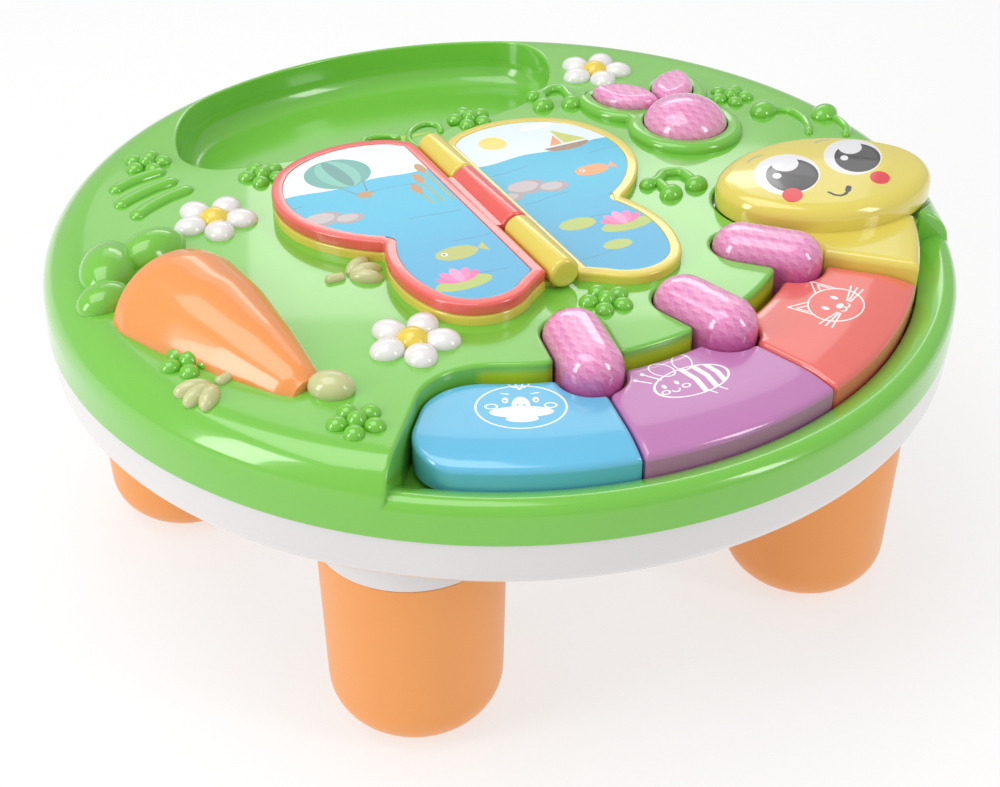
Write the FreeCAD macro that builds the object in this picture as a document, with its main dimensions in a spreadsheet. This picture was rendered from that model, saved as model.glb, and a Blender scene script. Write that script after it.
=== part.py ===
import FreeCAD, Part
import math
import os

import Sketcher
from FreeCAD import Placement, Rotation, Vector

# Musical activity table for a small child: a round two-part plastic housing on four legs.
# Millimetres. Origin on the floor under the middle of the table, +Z up, the child sits at -Y.
# Angles named from the front turn from -Y towards +X.

SIZES = {
    # Green top housing
    "table_radius": 210.0, "seam_height": 131.5, "deck_rise": 29.6, "shoulder_radius": 17.4,
    "wall_lean": 0.5, "shell_wall": 2.6,
    # White bottom housing and its leg sockets
    "base_inset": 0.7, "base_depth": 22.5, "base_corner": 8.4, "base_wall": 2.6,
    "collar_drop": 14.5, "socket_radius": 36.0,
    # Legs
    "leg_circle": 158.5, "leg_radius": 40.0, "foot_radius": 38.0, "foot_round": 21.0,
    "spigot_length": 13.5, "spigot_gap": 0.1, "front_leg_angle": 40.0, "rear_leg_angle": 113.0,
    # Storage tray in the deck
    "tray_depth": 24.0, "tray_floor_bevel": 7.0, "tray_front_arc": 378.0, "tray_back_radius": 196.5,
    "tray_left_x": -118.5, "tray_left_y": 98.0, "tray_left_round": 20.0,
    "tray_right_x": 97.0, "tray_right_y": 105.0, "tray_right_round": 42.0,
    "tray_back_right_angle": 31.0, "tray_back_right_round": 17.0,
    "tray_back_left_angle": 35.0, "tray_back_left_round": 32.0,
    # Key well along the front rim
    "well_inner_radius": 133.0, "well_outer_radius": 192.2, "well_floor_rise": 6.0,
    "well_start_angle": -38.4, "well_end_angle": 61.6, "well_corner": 26.0,
    "shelf_inner_rise": 12.0, "shelf_outer_rise": 17.2, "shelf_crest_radius": 203.5, "shelf_round": 6.2,
    # Keys
    "key_inner_radius": 137.0, "key_outer_radius": 191.5, "key_top_rise": 24.0, "key_skirt_rise": 9.6,
    "key_crown_start": 172.0, "key_crown_drop": 3.2, "key_front_round": 4.0, "key_end_round": 22.0,
    "key_wall": 2.4, "hollow_inner_radius": 153.5, "key_span": 28.0, "red_key_span": 28.6, "first_seam_angle": -10.2,
    "key_gap": 0.8, "key_travel": 3.0, "key_edge_round": 1.2,
    "plunger_radius": 4.0, "plunger_circle": 165.0, "hook_width": 6.0, "hook_depth": 3.0,
    "hook_reach": 1.2, "hook_height": 1.8, "hook_angle": 9.0, "neck_hook_angle": 4.6, "hook_circle": 170.0,
    "slide_clearance": 0.4, "stop_gap": 0.3,
    # Smiling head, the fourth key
    "head_x": 141.0, "head_y": -57.0, "head_turn": -9.0, "head_length": 52.6, "head_width": 37.8,
    "head_top_rise": 43.0, "head_bevel": 5.6, "head_recess": 4.2,
    "neck_span": 14.6, "neck_top_rise": 27.0, "head_gap": 0.8,
    # Light lenses
    "lens_circle": 125.5, "lens_first_angle": -11.2, "lens_step_angle": 27.8, "lens_half_width": 13.3,
    "lens_half_run": 11.5, "lens_bevel": 7.2, "lens_top_rise": 38.5, "lens_wall": 1.6, "lens_gap": 0.3,
    "diffuser_gap": 1.4, "diffuser_slope": 5.0, "web_rise": 20.0, "web_thickness": 2.0,
    # Radish push button
    "radish_x": 120.0, "radish_y": 31.0, "radish_base_rise": 3.4, "radish_radius": 20.9, "radish_height": 13.7, "radish_wall": 2.0,
    "radish_flange": 1.6, "radish_travel": 2.5, "radish_leaf_length": 36.0, "radish_leaf_width": 21.0,
    "radish_leaf_angle": 42.0, "radish_leaf_height": 6.5, "radish_neck": 3.0, "radish_neck_shift": 20.0,
    "collar_height": 5.0, "collar_lip": 3.0, "collar_slope": 5.0,
    # Butterfly book
    "book_x": -8.7, "base_thickness": 4.6, "page_gap": 0.3, "page_thickness": 5.2, "barrel_radius": 6.9,
    "barrel_front_y": -78.0, "barrel_back_y": 57.0, "knuckle_front_y": -33.0, "knuckle_back_y": 19.0,
    "knuckle_gap": 0.4, "pin_radius": 1.5, "pin_clearance": 0.06, "page_inner": 8.0,
    "picture_margin": 5.2, "picture_recess": 0.7, "label_thickness": 0.3,
    # Carrot and flowers fixed on the deck
    "carrot_length": 108.0, "carrot_radius": 33.0, "carrot_crown_x": -164.3, "carrot_crown_y": 2.0,
    "carrot_turn": -74.2, "carrot_sink": 11.0, "carrot_tilt": 4.0,
    "daisy_left_x": -123.0, "daisy_left_y": 46.0, "daisy_front_x": -84.0, "daisy_front_y": -88.0,
    "daisy_right_x": 114.0, "daisy_right_y": 113.0, "daisy_phase": 46.0, "daisy_reach": 11.6, "petal_radius": 7.4, "petal_height": 3.6,
    "daisy_centre_radius": 5.8, "daisy_centre_height": 4.8,
    # Electronics, speaker and batteries
    "board_thickness": 1.6, "board_drop": 2.4, "boss_radius": 3.5, "pilot_radius": 1.4,
    "board_inner_radius": 112.0, "board_outer_radius": 188.0, "board_post_circle": 148.0, "light_post_circle": 27.0, "light_board_drop": 13.6,
    "led_radius": 2.5, "led_height": 8.6, "pad_base_radius": 8.5, "pad_wall": 1.0,
    "pad_height": 5.0, "speaker_radius": 28.0, "speaker_depth": 17.0, "speaker_y": -62.0,
    "cell_radius": 7.2, "cell_length": 50.5, "cell_pitch": 15.6, "cell_count": 3,
    "bay_y": 24.0, "bay_margin": 4.0, "door_thickness": 2.4, "door_gap": 0.4,
    "screw_radius": 1.35, "screw_head_radius": 2.8, "screw_head_height": 2.0, "shell_boss_circle": 196.0, "post_reach": 6.0,
    "switch_y": -20.0, "switch_travel": 4.0, "switch_knob": 6.0,
}

doc = FreeCAD.newDocument("MusicTable")
sheet = doc.addObject("Spreadsheet::Sheet", "Sizes")
for row, (alias, number) in enumerate(SIZES.items(), start=1):
    sheet.set(f"A{row}", alias)
    sheet.set(f"B{row}", str(number))
    sheet.setAlias(f"B{row}", alias)
doc.recompute()


class Size:
    """A length or angle together with the sheet expression that gives it."""

    def __init__(self, number, text):
        self.number = float(number)
        self.text = text

    def __add__(self, other):
        other = as_size(other)
        return Size(self.number + other.number, f"({self.text} + {other.text})")

    def __sub__(self, other):
        other = as_size(other)
        return Size(self.number - other.number, f"({self.text} - {other.text})")

    def __mul__(self, other):
        other = as_size(other)
        return Size(self.number * other.number, f"({self.text} * {other.text})")

    def __truediv__(self, other):
        other = as_size(other)
        return Size(self.number / other.number, f"({self.text} / {other.text})")

    def __rsub__(self, other):
        return as_size(other) - self

    def __neg__(self):
        return Size(-self.number, f"(-{self.text})")

    __radd__ = __add__
    __rmul__ = __mul__


class Sheet:
    """Reads a named size from the sheet, as in S.table_radius."""

    def __getattr__(self, alias):
        return Size(sheet.get(alias), f"Sizes.{alias}")


def as_size(value):
    return value if isinstance(value, Size) else Size(value, repr(float(value)))


def sin(angle):
    return Size(math.sin(math.radians(angle.number)), f"sin({angle.text})")


def cos(angle):
    return Size(math.cos(math.radians(angle.number)), f"cos({angle.text})")


def root(value):
    return Size(math.sqrt(value.number), f"sqrt({value.text})")


S = Sheet()
SEAM = S.seam_height
DECK = SEAM + S.deck_rise
FLOOR_TOP = SEAM + S.well_floor_rise
FLOOR_UNDER = FLOOR_TOP - S.shell_wall
BOARD_TOP = SEAM - S.board_drop
UNDERSIDE = SEAM - S.base_depth
SHOULDER_START = S.table_radius - S.wall_lean - S.shoulder_radius


def bind(feature, prop, size):
    """Set a property and bind it to the sheet."""
    feature.setExpression(prop, as_size(size).text)


def polar(radius, angle):
    """Point at an angle measured from the front."""
    angle = as_size(angle)
    return radius * sin(angle), -(radius * cos(angle))


def fix(sketch, geometry, place, x, y):
    """Hold a point of the sketch at x, y."""
    for kind, value in (("DistanceX", as_size(x)), ("DistanceY", as_size(y))):
        index = sketch.addConstraint(Sketcher.Constraint(kind, -1, 1, geometry, place, value.number))
        sketch.setExpression(f"Constraints[{index}]", value.text)


def draw_outline(sketch, corners):
    """Close a counter-clockwise outline through corners (x, y, radius of the arc to the next corner).

    A radius of None is a straight run, a positive one bulges outwards and a negative one inwards.
    """
    points = [Vector(as_size(x).number, as_size(y).number, 0) for x, y, _ in corners]
    edges = []
    for index, (_, _, radius) in enumerate(corners):
        first = points[index]
        last = points[(index + 1) % len(points)]
        if radius is None:
            edges.append((sketch.addGeometry(Part.LineSegment(first, last)), 1, 2))
            continue
        size = as_size(radius)
        chord = last - first
        reach = math.sqrt(max(size.number**2 - chord.Length**2 / 4, 0.0))
        across = Vector(-chord.y, chord.x, 0).normalize() * math.copysign(reach, size.number)
        centre = (first + last) / 2 + across
        start, end = (first, last) if size.number > 0 else (last, first)
        angles = [math.atan2(point.y - centre.y, point.x - centre.x) for point in (start, end)]
        circle = Part.Circle(centre, Vector(0, 0, 1), abs(size.number))
        geometry = sketch.addGeometry(Part.ArcOfCircle(circle, angles[0], angles[1]))
        edges.append((geometry, 1, 2) if size.number > 0 else (geometry, 2, 1))
        index = sketch.addConstraint(Sketcher.Constraint("Radius", geometry, abs(size.number)))
        sketch.setExpression(f"Constraints[{index}]", size.text if size.number > 0 else (-size).text)
    for index, (geometry, start, end) in enumerate(edges):
        following = edges[(index + 1) % len(edges)]
        sketch.addConstraint(Sketcher.Constraint("Coincident", geometry, end, following[0], following[1]))
        fix(sketch, geometry, start, corners[index][0], corners[index][1])
    return sketch


def draw_circle(sketch, x, y, radius):
    circle = Part.Circle(Vector(as_size(x).number, as_size(y).number, 0), Vector(0, 0, 1), as_size(radius).number)
    geometry = sketch.addGeometry(circle)
    fix(sketch, geometry, 3, x, y)
    index = sketch.addConstraint(Sketcher.Constraint("Radius", geometry, as_size(radius).number))
    sketch.setExpression(f"Constraints[{index}]", as_size(radius).text)
    return sketch


def slot_corners(half_run, half_width):
    """Outline of a slot along X with round ends, centred on the origin."""
    tip = half_run + half_width
    return [
        (-half_run, -half_width, None), (half_run, -half_width, half_width), (tip, 0, half_width),
        (half_run, half_width, None), (-half_run, half_width, half_width), (-tip, 0, half_width),
    ]


def arc_corners(x, y, radius, start, end, steps):
    """Corners along an arc about x, y drawn as short straight runs, from a start to an end angle."""
    corners = []
    for index in range(steps + 1):
        angle = as_size(start + (end - start) * index / steps)
        corners.append((x + radius * cos(angle), y + radius * sin(angle), None))
    return corners


def chords(corners, steps):
    """Corners of a counter-clockwise outline with each of its arcs drawn as short straight runs."""
    points = [Vector(as_size(x).number, as_size(y).number, 0) for x, y, _ in corners]
    result = []
    for index, (x, y, radius) in enumerate(corners):
        result.append((x, y, None))
        if radius is None:
            continue
        first, last = points[index], points[(index + 1) % len(points)]
        size = as_size(radius).number
        chord = last - first
        reach = math.sqrt(size**2 - chord.Length**2 / 4)
        centre = (first + last) / 2 + Vector(-chord.y, chord.x, 0).normalize() * reach
        sweep = math.degrees(2 * math.asin(chord.Length / 2 / size))
        for step in range(1, steps):
            point = centre + Rotation(Vector(0, 0, 1), sweep * step / steps).multVec(first - centre)
            result.append((point.x, point.y, None))
    return result


def round_corners(sides, radius, turn=0):
    """Regular outline with a number of sides inside a circle."""
    return arc_corners(as_size(0), as_size(0), as_size(radius), turn, turn + 360, sides)[:-1]


def box_corners(left, front, right, back):
    return [(left, front, None), (right, front, None), (right, back, None), (left, back, None)]


def oval_corners(length, width, sides=32):
    """Oval with half axes length and width, drawn with flat sides."""
    angles = [as_size(360 * index / sides) for index in range(sides)]
    return [(length * cos(angle), width * sin(angle), None) for angle in angles]


def flat_slot(half_run, half_width, steps=6):
    """Slot along X whose round ends are drawn with flat sides."""
    zero = as_size(0)
    return (arc_corners(as_size(half_run), zero, as_size(half_width), -90, 90, steps)
            + arc_corners(as_size(-half_run), zero, as_size(half_width), 90, 270, steps))


# Free sketches and the Part features made from them
def place(feature, x, y, z, turn=0):
    """Bind a feature's place and set its turn about Z."""
    feature.Placement = Placement(Vector(), Rotation(Vector(0, 0, 1), as_size(turn).number))
    for prop, size in (("Placement.Base.x", x), ("Placement.Base.y", y), ("Placement.Base.z", z)):
        bind(feature, prop, size)
    return feature


def side_sketch(name, corners, angle=0):
    """Outline of radius and height in the upright plane at an angle from the front."""
    sketch = doc.addObject("Sketcher::SketchObject", name)
    draw_outline(sketch, corners)
    upright = Rotation(Vector(0, 0, 1), as_size(angle).number - 90) * Rotation(Vector(1, 0, 0), 90)
    sketch.Placement = Placement(Vector(), upright)
    return sketch


def prism(name, corners, bottom, top, at=(0, 0), turn=0):
    """Upright solid between two heights over an outline, or over a circle where corners is a radius."""
    sketch = doc.addObject("Sketcher::SketchObject", name + "_outline")
    draw_outline(sketch, corners)
    place(sketch, at[0], at[1], bottom, turn)
    feature = doc.addObject("Part::Extrusion", name)
    feature.Base = sketch
    feature.DirMode = "Custom"
    feature.Dir = Vector(0, 0, 1)
    feature.Solid = True
    bind(feature, "LengthFwd", top - bottom)
    return feature


def revolve(sketch, angle, name):
    """Turn a side sketch about the table's axis, half the angle to each side."""
    feature = doc.addObject("Part::Revolution", name)
    feature.Source = sketch
    feature.Axis = Vector(0, 0, 1)
    feature.Base = Vector()
    feature.Solid = True
    feature.Symmetric = True
    bind(feature, "Angle", angle)
    return feature


def ring(name, corners, start, end):
    """Solid of a side outline turned from one angle to another."""
    return revolve(side_sketch(name + "_outline", corners, (start + end) / 2), end - start, name)


def flats(radius):
    """Number of flat sides that a round thing of a radius is drawn with."""
    number = as_size(radius).number
    for limit, sides in ((4.5, 8), (12.0, 12), (60.0, 24)):
        if number < limit:
            return sides
    return 72


def column(name, x, y, bottom, top, radius):
    """Upright round bar, drawn with flat sides so that it stays light."""
    feature = place(doc.addObject("Part::Prism", name), x, y, bottom)
    feature.Polygon = flats(radius)
    bind(feature, "Circumradius", radius)
    bind(feature, "Height", top - bottom)
    return feature


def fuse(name, shapes):
    feature = doc.addObject("Part::MultiFuse", name)
    feature.Shapes = shapes
    return feature


def cut(name, base, tools):
    feature = doc.addObject("Part::Cut", name)
    feature.Base = base
    feature.Tool = tools[0] if len(tools) == 1 else fuse(name + "_cutters", tools)
    return feature


def common(name, first, second):
    feature = doc.addObject("Part::Common", name)
    feature.Base = first
    feature.Tool = second
    return feature


def dress_solid(kind, name, base, size_of):
    """Round or bevel edges of a shape; size_of(edge) gives each edge its size, or 0 to leave it."""
    doc.recompute()
    feature = doc.addObject(kind, name)
    feature.Base = base
    sizes = [(index, as_size(size_of(edge)).number) for index, edge in enumerate(base.Shape.Edges, start=1)]
    feature.Edges = [(index, size, size) for index, size in sizes if size > 0]
    return feature


def round_edges(name, base, radius, chosen):
    return dress_solid("Part::Fillet", name, base, lambda edge: radius if chosen(edge) else 0)


def bevel_edges(name, base, radius, chosen):
    return dress_solid("Part::Chamfer", name, base, lambda edge: radius if chosen(edge) else 0)


def taper_edges(name, base, along, inwards, chosen):
    """Cut the chosen edges back by one size along the sides and another along the end."""
    feature = bevel_edges(name, base, 1, chosen)
    feature.Edges = [(index, as_size(along).number, as_size(inwards).number) for index, _, _ in feature.Edges]
    return feature


def round_uprights(name, base, corners):
    """Round the upright edges; corners lists (x, y, radius) of those to round."""
    def size_of(edge):
        first, last = edge.Vertexes[0].Point, edge.Vertexes[-1].Point
        if math.hypot(first.x - last.x, first.y - last.y) > 1e-4:
            return 0
        for x, y, radius in corners:
            if math.hypot(first.x - as_size(x).number, first.y - as_size(y).number) < 0.01:
                return radius
        return 0
    return dress_solid("Part::Fillet", name, base, size_of)


def level_edge(*heights):
    """Picks the edges that lie level at one of some heights."""
    levels = [as_size(height).number for height in heights]

    def chosen(edge):
        points = edge.discretize(5)
        return any(all(abs(point.z - level) < 1e-4 for point in points) for level in levels)

    return chosen


def roll_edge(name, base, radius, height, downwards=-1):
    """Roll the outer edge at a height over an arc of a radius, as three flats."""
    first = radius * (2 - math.sqrt(2))
    second = radius * (math.tan(math.pi / 8) - math.tan(math.pi / 16))
    wide = bevel_edges(name + "_wide", base, first, level_edge(height))
    return bevel_edges(name, wide, second, level_edge(height, height + first * downwards))


# PartDesign bodies
def new_body(name):
    body = doc.addObject("PartDesign::Body", name)
    return body


def body_plane(body, role):
    return next(item for item in body.Origin.OriginFeatures if item.Role == role)


def body_sketch(body, name, role="XY_Plane", height=None):
    sketch = body.newObject("Sketcher::SketchObject", name)
    sketch.AttachmentSupport = (body_plane(body, role), [""])
    sketch.MapMode = "FlatFace"
    if height is not None:
        bind(sketch, "AttachmentOffset.Base.z", height)
    return sketch


def pad(body, sketch, length, name):
    feature = body.newObject("PartDesign::Pad", name)
    feature.Profile = sketch
    bind(feature, "Length", length)
    return feature


def pocket(body, sketch, length, name, upwards=False):
    feature = body.newObject("PartDesign::Pocket", name)
    feature.Profile = sketch
    feature.Reversed = upwards
    bind(feature, "Length", length)
    return feature


def spin(body, sketch, angle, name, kind="PartDesign::Revolution"):
    """Turn a sketch about the body's Z axis, half the angle to each side."""
    feature = body.newObject(kind, name)
    feature.Profile = sketch
    feature.ReferenceAxis = (body_plane(body, "Z_Axis"), [""])
    feature.Midplane = True
    bind(feature, "Angle", angle)
    return feature


def dress(body, kind, name, size, chosen, prop):
    """Fillet or chamfer the chosen edges of the body's last feature."""
    doc.recompute()
    tip = body.Tip
    names = [f"Edge{index}" for index, edge in enumerate(tip.Shape.Edges, start=1) if chosen(edge)]
    feature = body.newObject(kind, name)
    feature.Base = (tip, names)
    bind(feature, prop, size)
    return feature


def body_round(body, name, radius, chosen):
    return dress(body, "PartDesign::Fillet", name, radius, chosen, "Radius")


def body_bevel(body, name, size, chosen):
    return dress(body, "PartDesign::Chamfer", name, size, chosen, "Size")


# Outlines used by more than one piece
def tray_corners(grow=0):
    """Storage tray at deck level, wider than the tray by grow; its back runs along the rim."""
    grow = as_size(grow)
    right = polar(S.tray_back_radius + grow, 180 - S.tray_back_right_angle)
    left = polar(S.tray_back_radius + grow, 180 + S.tray_back_left_angle)
    return [
        (S.tray_left_x - grow, S.tray_left_y - grow, S.tray_front_arc),
        (S.tray_right_x + grow, S.tray_right_y - grow, None),
        (right[0] + grow, right[1], S.tray_back_radius + grow), (left[0] - grow, left[1], None),
    ]


def tray_block(name, grow, bottom, top):
    corners = tray_corners(grow)
    radii = [S.tray_left_round, S.tray_right_round, S.tray_back_right_round, S.tray_back_left_round]
    uprights = [(x, y, radius + grow) for (x, y, _), radius in zip(corners, radii)]
    return round_uprights(name, prism(name + "_block", corners, bottom, top), uprights)


def wing_corners(inset, side):
    """Butterfly wing beside the spine, drawn in by inset; side is 1 on the right and -1 on the left."""
    inset = as_size(inset)
    right = [
        (S.page_inner + inset, -76.0 + inset, None), (S.page_inner + 10 + inset, -83.0 + inset, 26 - inset),
        (60.5 - inset, -75.0 + inset * 0.6, 62 - inset), (59.6 - inset, -23.7 + inset * 0.2, 70.0),
        (84.0 - inset, 2.0 + inset * 0.35, 52 - inset), (77.5 - inset * 0.8, 60.0 - inset * 0.7, 54 - inset),
        (25.0 + inset * 0.3, 72.0 - inset, 30 - inset), (S.page_inner + inset, 60.0 - inset * 0.4, None),
    ]
    if side > 0:
        return chords([(x + S.book_x, y, radius) for x, y, radius in right], 4)
    mirrored = [(S.book_x - x, y) for x, y, _ in right]
    radii = [radius for _, _, radius in right]
    order = list(range(len(right)))[::-1]
    return chords([(mirrored[index][0], mirrored[index][1], radii[index - 1]) for index in order], 4)


def key_angles():
    """Middle angle and span of the three plain keys."""
    first = S.first_seam_angle
    second = first + S.key_span
    return {
        "blue": (first - S.key_span / 2, S.key_span),
        "purple": (first + S.key_span / 2, S.key_span),
        "red": (second + S.red_key_span / 2, S.red_key_span),
    }


KEYS = key_angles()
NECK_START = S.first_seam_angle + S.key_span + S.red_key_span
NECK_ANGLE = NECK_START + S.neck_span / 2
LENS_ANGLES = [S.lens_first_angle + S.lens_step_angle * index for index in range(3)]


def lens_block(name, index, grow, bottom, top):
    """Upright slot-shaped solid on a lens's place, wider than the lens by grow."""
    angle = LENS_ANGLES[index]
    corners = flat_slot(S.lens_half_run, S.lens_half_width + grow)
    return prism(name, corners, bottom, top, polar(S.lens_circle, angle), angle - 90)


def head_block(name, grow, bottom, top):
    corners = oval_corners(S.head_length + grow, S.head_width + grow)
    return prism(name, corners, bottom, top, (S.head_x, S.head_y), S.head_turn)


def hook_holes(name, angle, spread, bottom, top):
    """Cutters through a floor for a key's plunger and its two hooks."""
    x, y = polar(S.plunger_circle, angle)
    tools = [column(f"{name}_plunger_hole", x, y, bottom, top, S.plunger_radius + S.slide_clearance)]
    half_width = S.hook_width / 2 + S.slide_clearance
    half_depth = S.hook_depth / 2 + S.slide_clearance
    for side in (-1, 1):
        hook_angle = angle + side * spread
        corners = box_corners(-half_width, -half_depth, half_width, half_depth)
        spot = polar(S.hook_circle, hook_angle)
        tools.append(prism(f"{name}_hook_hole{side + 2}", corners, bottom, top, spot, angle))
    return tools


# Places worked out from the sizes
WALL_ANGLE = Size(180 / math.pi, repr(180 / math.pi)) / S.well_inner_radius
BOARD_POST_ANGLES = [S.first_seam_angle - S.key_span + 3, S.first_seam_angle + 14, NECK_START - 14, NECK_START + 12]
LIGHT_POST_ANGLES = [as_size(angle) for angle in (0, 120, 240)]
LIGHT_BOARD_TOP = DECK - S.light_board_drop
PAD_TOP = BOARD_TOP + S.pad_height
PLUNGER_END = PAD_TOP + 0.05
BOARD_UNDER = BOARD_TOP - S.board_thickness
SHELL_SCREW_ANGLES = [as_size(angle) for angle in (0, 76.5, 135, 180, 225, 283.5)]
SCREW_SHELF = UNDERSIDE + S.screw_head_height + 2
LEG_TOP = UNDERSIDE - S.collar_drop
BASE_FLOOR = UNDERSIDE + S.base_wall
LEG_ANGLES = {"front": [-S.front_leg_angle, S.front_leg_angle], "rear": [-S.rear_leg_angle, S.rear_leg_angle]}
BAY_HALF_X = S.cell_length / 2 + S.bay_margin
BAY_HALF_Y = S.cell_pitch * (S.cell_count - 1) / 2 + S.cell_radius + 1
CELL_AXIS = UNDERSIDE + S.door_thickness + 0.6 + S.cell_radius
BOOK_AXIS = DECK + S.barrel_radius + 0.6
BASE_TOP = DECK + S.base_thickness
PAGE_BOTTOM = BASE_TOP + S.page_gap


# Green top housing
def shoulder_corners():
    """Rolled rim between the wall and the deck."""
    return arc_corners(SHOULDER_START, DECK - S.shoulder_radius, S.shoulder_radius, 0, 90, 3)


def housing():
    """Round deck with a rolled rim, open below."""
    inner = S.table_radius - S.shell_wall
    wall_top = DECK - S.shoulder_radius
    return revolve(side_sketch("housing_profile", [
        (0, DECK - S.shell_wall, None), (SHOULDER_START, DECK - S.shell_wall, None),
        (inner - S.wall_lean, wall_top, None), (inner, SEAM, None), (S.table_radius, SEAM, None),
    ] + shoulder_corners() + [(0, DECK, None)]), 360, "housing")


def shelf_outline(top):
    """Side outline of the shelf in front of the keys, from its surface up to a height."""
    wall = S.table_radius - S.wall_lean
    crest = SEAM + S.shelf_outer_rise
    return [
        (S.well_outer_radius, SEAM + S.shelf_inner_rise, None), (S.shelf_crest_radius, crest, None),
        (wall, crest - S.shelf_round, None), (wall + 5, crest - S.shelf_round, None), (wall + 5, top, None),
        (S.well_outer_radius, top, None),
    ]


def well_block(name, grow, bottom, top, end):
    """Ring-shaped solid of the key well, wider than it by grow."""
    start = S.well_start_angle - grow * WALL_ANGLE
    inner = S.well_inner_radius - grow
    corners = [(inner, bottom, None), (S.well_outer_radius + grow, bottom, None),
               (S.well_outer_radius + grow, top, None), (inner, top, None)]
    block = ring(name + "_ring", corners, start, end + grow * WALL_ANGLE)
    corner = polar(inner, start)
    return round_uprights(name, block, [(corner[0], corner[1], S.well_corner + grow)])


def radish_leaf(name, side, grow, bottom, top):
    """Pointed leaf of the radish outline, drawn out by grow."""
    half_length = S.radish_leaf_length / 2 + grow
    half_width = S.radish_leaf_width / 2 + grow
    shape = [(-1, 0), (-0.55, -0.72), (0, -1), (0.55, -0.72), (1, 0), (0.55, 0.72), (0, 1), (-0.55, 0.72)]
    corners = [(half_length * along, half_width * across, None) for along, across in shape]
    turn = 90 + side * S.radish_leaf_angle
    reach = S.radish_neck + S.radish_leaf_length / 2
    at = (S.radish_x + reach * cos(turn), S.radish_y + S.radish_neck_shift + reach * sin(turn))
    return prism(name, corners, bottom, top, at, turn)


def radish_collar():
    """Raised rim round the radish: a cone round its root and bevelled blocks round its leaves."""
    top = DECK + S.collar_height
    foot = S.radish_radius + S.collar_lip + S.collar_slope
    root = column("collar_root_block", S.radish_x, S.radish_y, DECK - 1, top, foot)
    pieces = [bevel_edges("collar_root", root, S.collar_slope, level_edge(top))]
    for side in (-1, 1):
        grow = S.collar_lip + S.collar_slope
        block = radish_leaf(f"collar_leaf_block{side + 2}", side, grow, DECK - 1, top)
        pieces.append(bevel_edges(f"collar_leaf{side + 2}", block, S.collar_slope, level_edge(top)))
    return pieces


def radish_cutters():
    top = DECK + S.collar_height + 10
    bottom = DECK - S.shell_wall - 1
    gap = S.slide_clearance
    root_hole = column("radish_hole", S.radish_x, S.radish_y, bottom, top, S.radish_radius + gap)
    return [root_hole] + [radish_leaf(f"radish_leaf_hole{side + 2}", side, gap, bottom, top) for side in (-1, 1)]


def post(name, x, y, bottom, top):
    return column(name, x, y, bottom, top, S.boss_radius)


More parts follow.
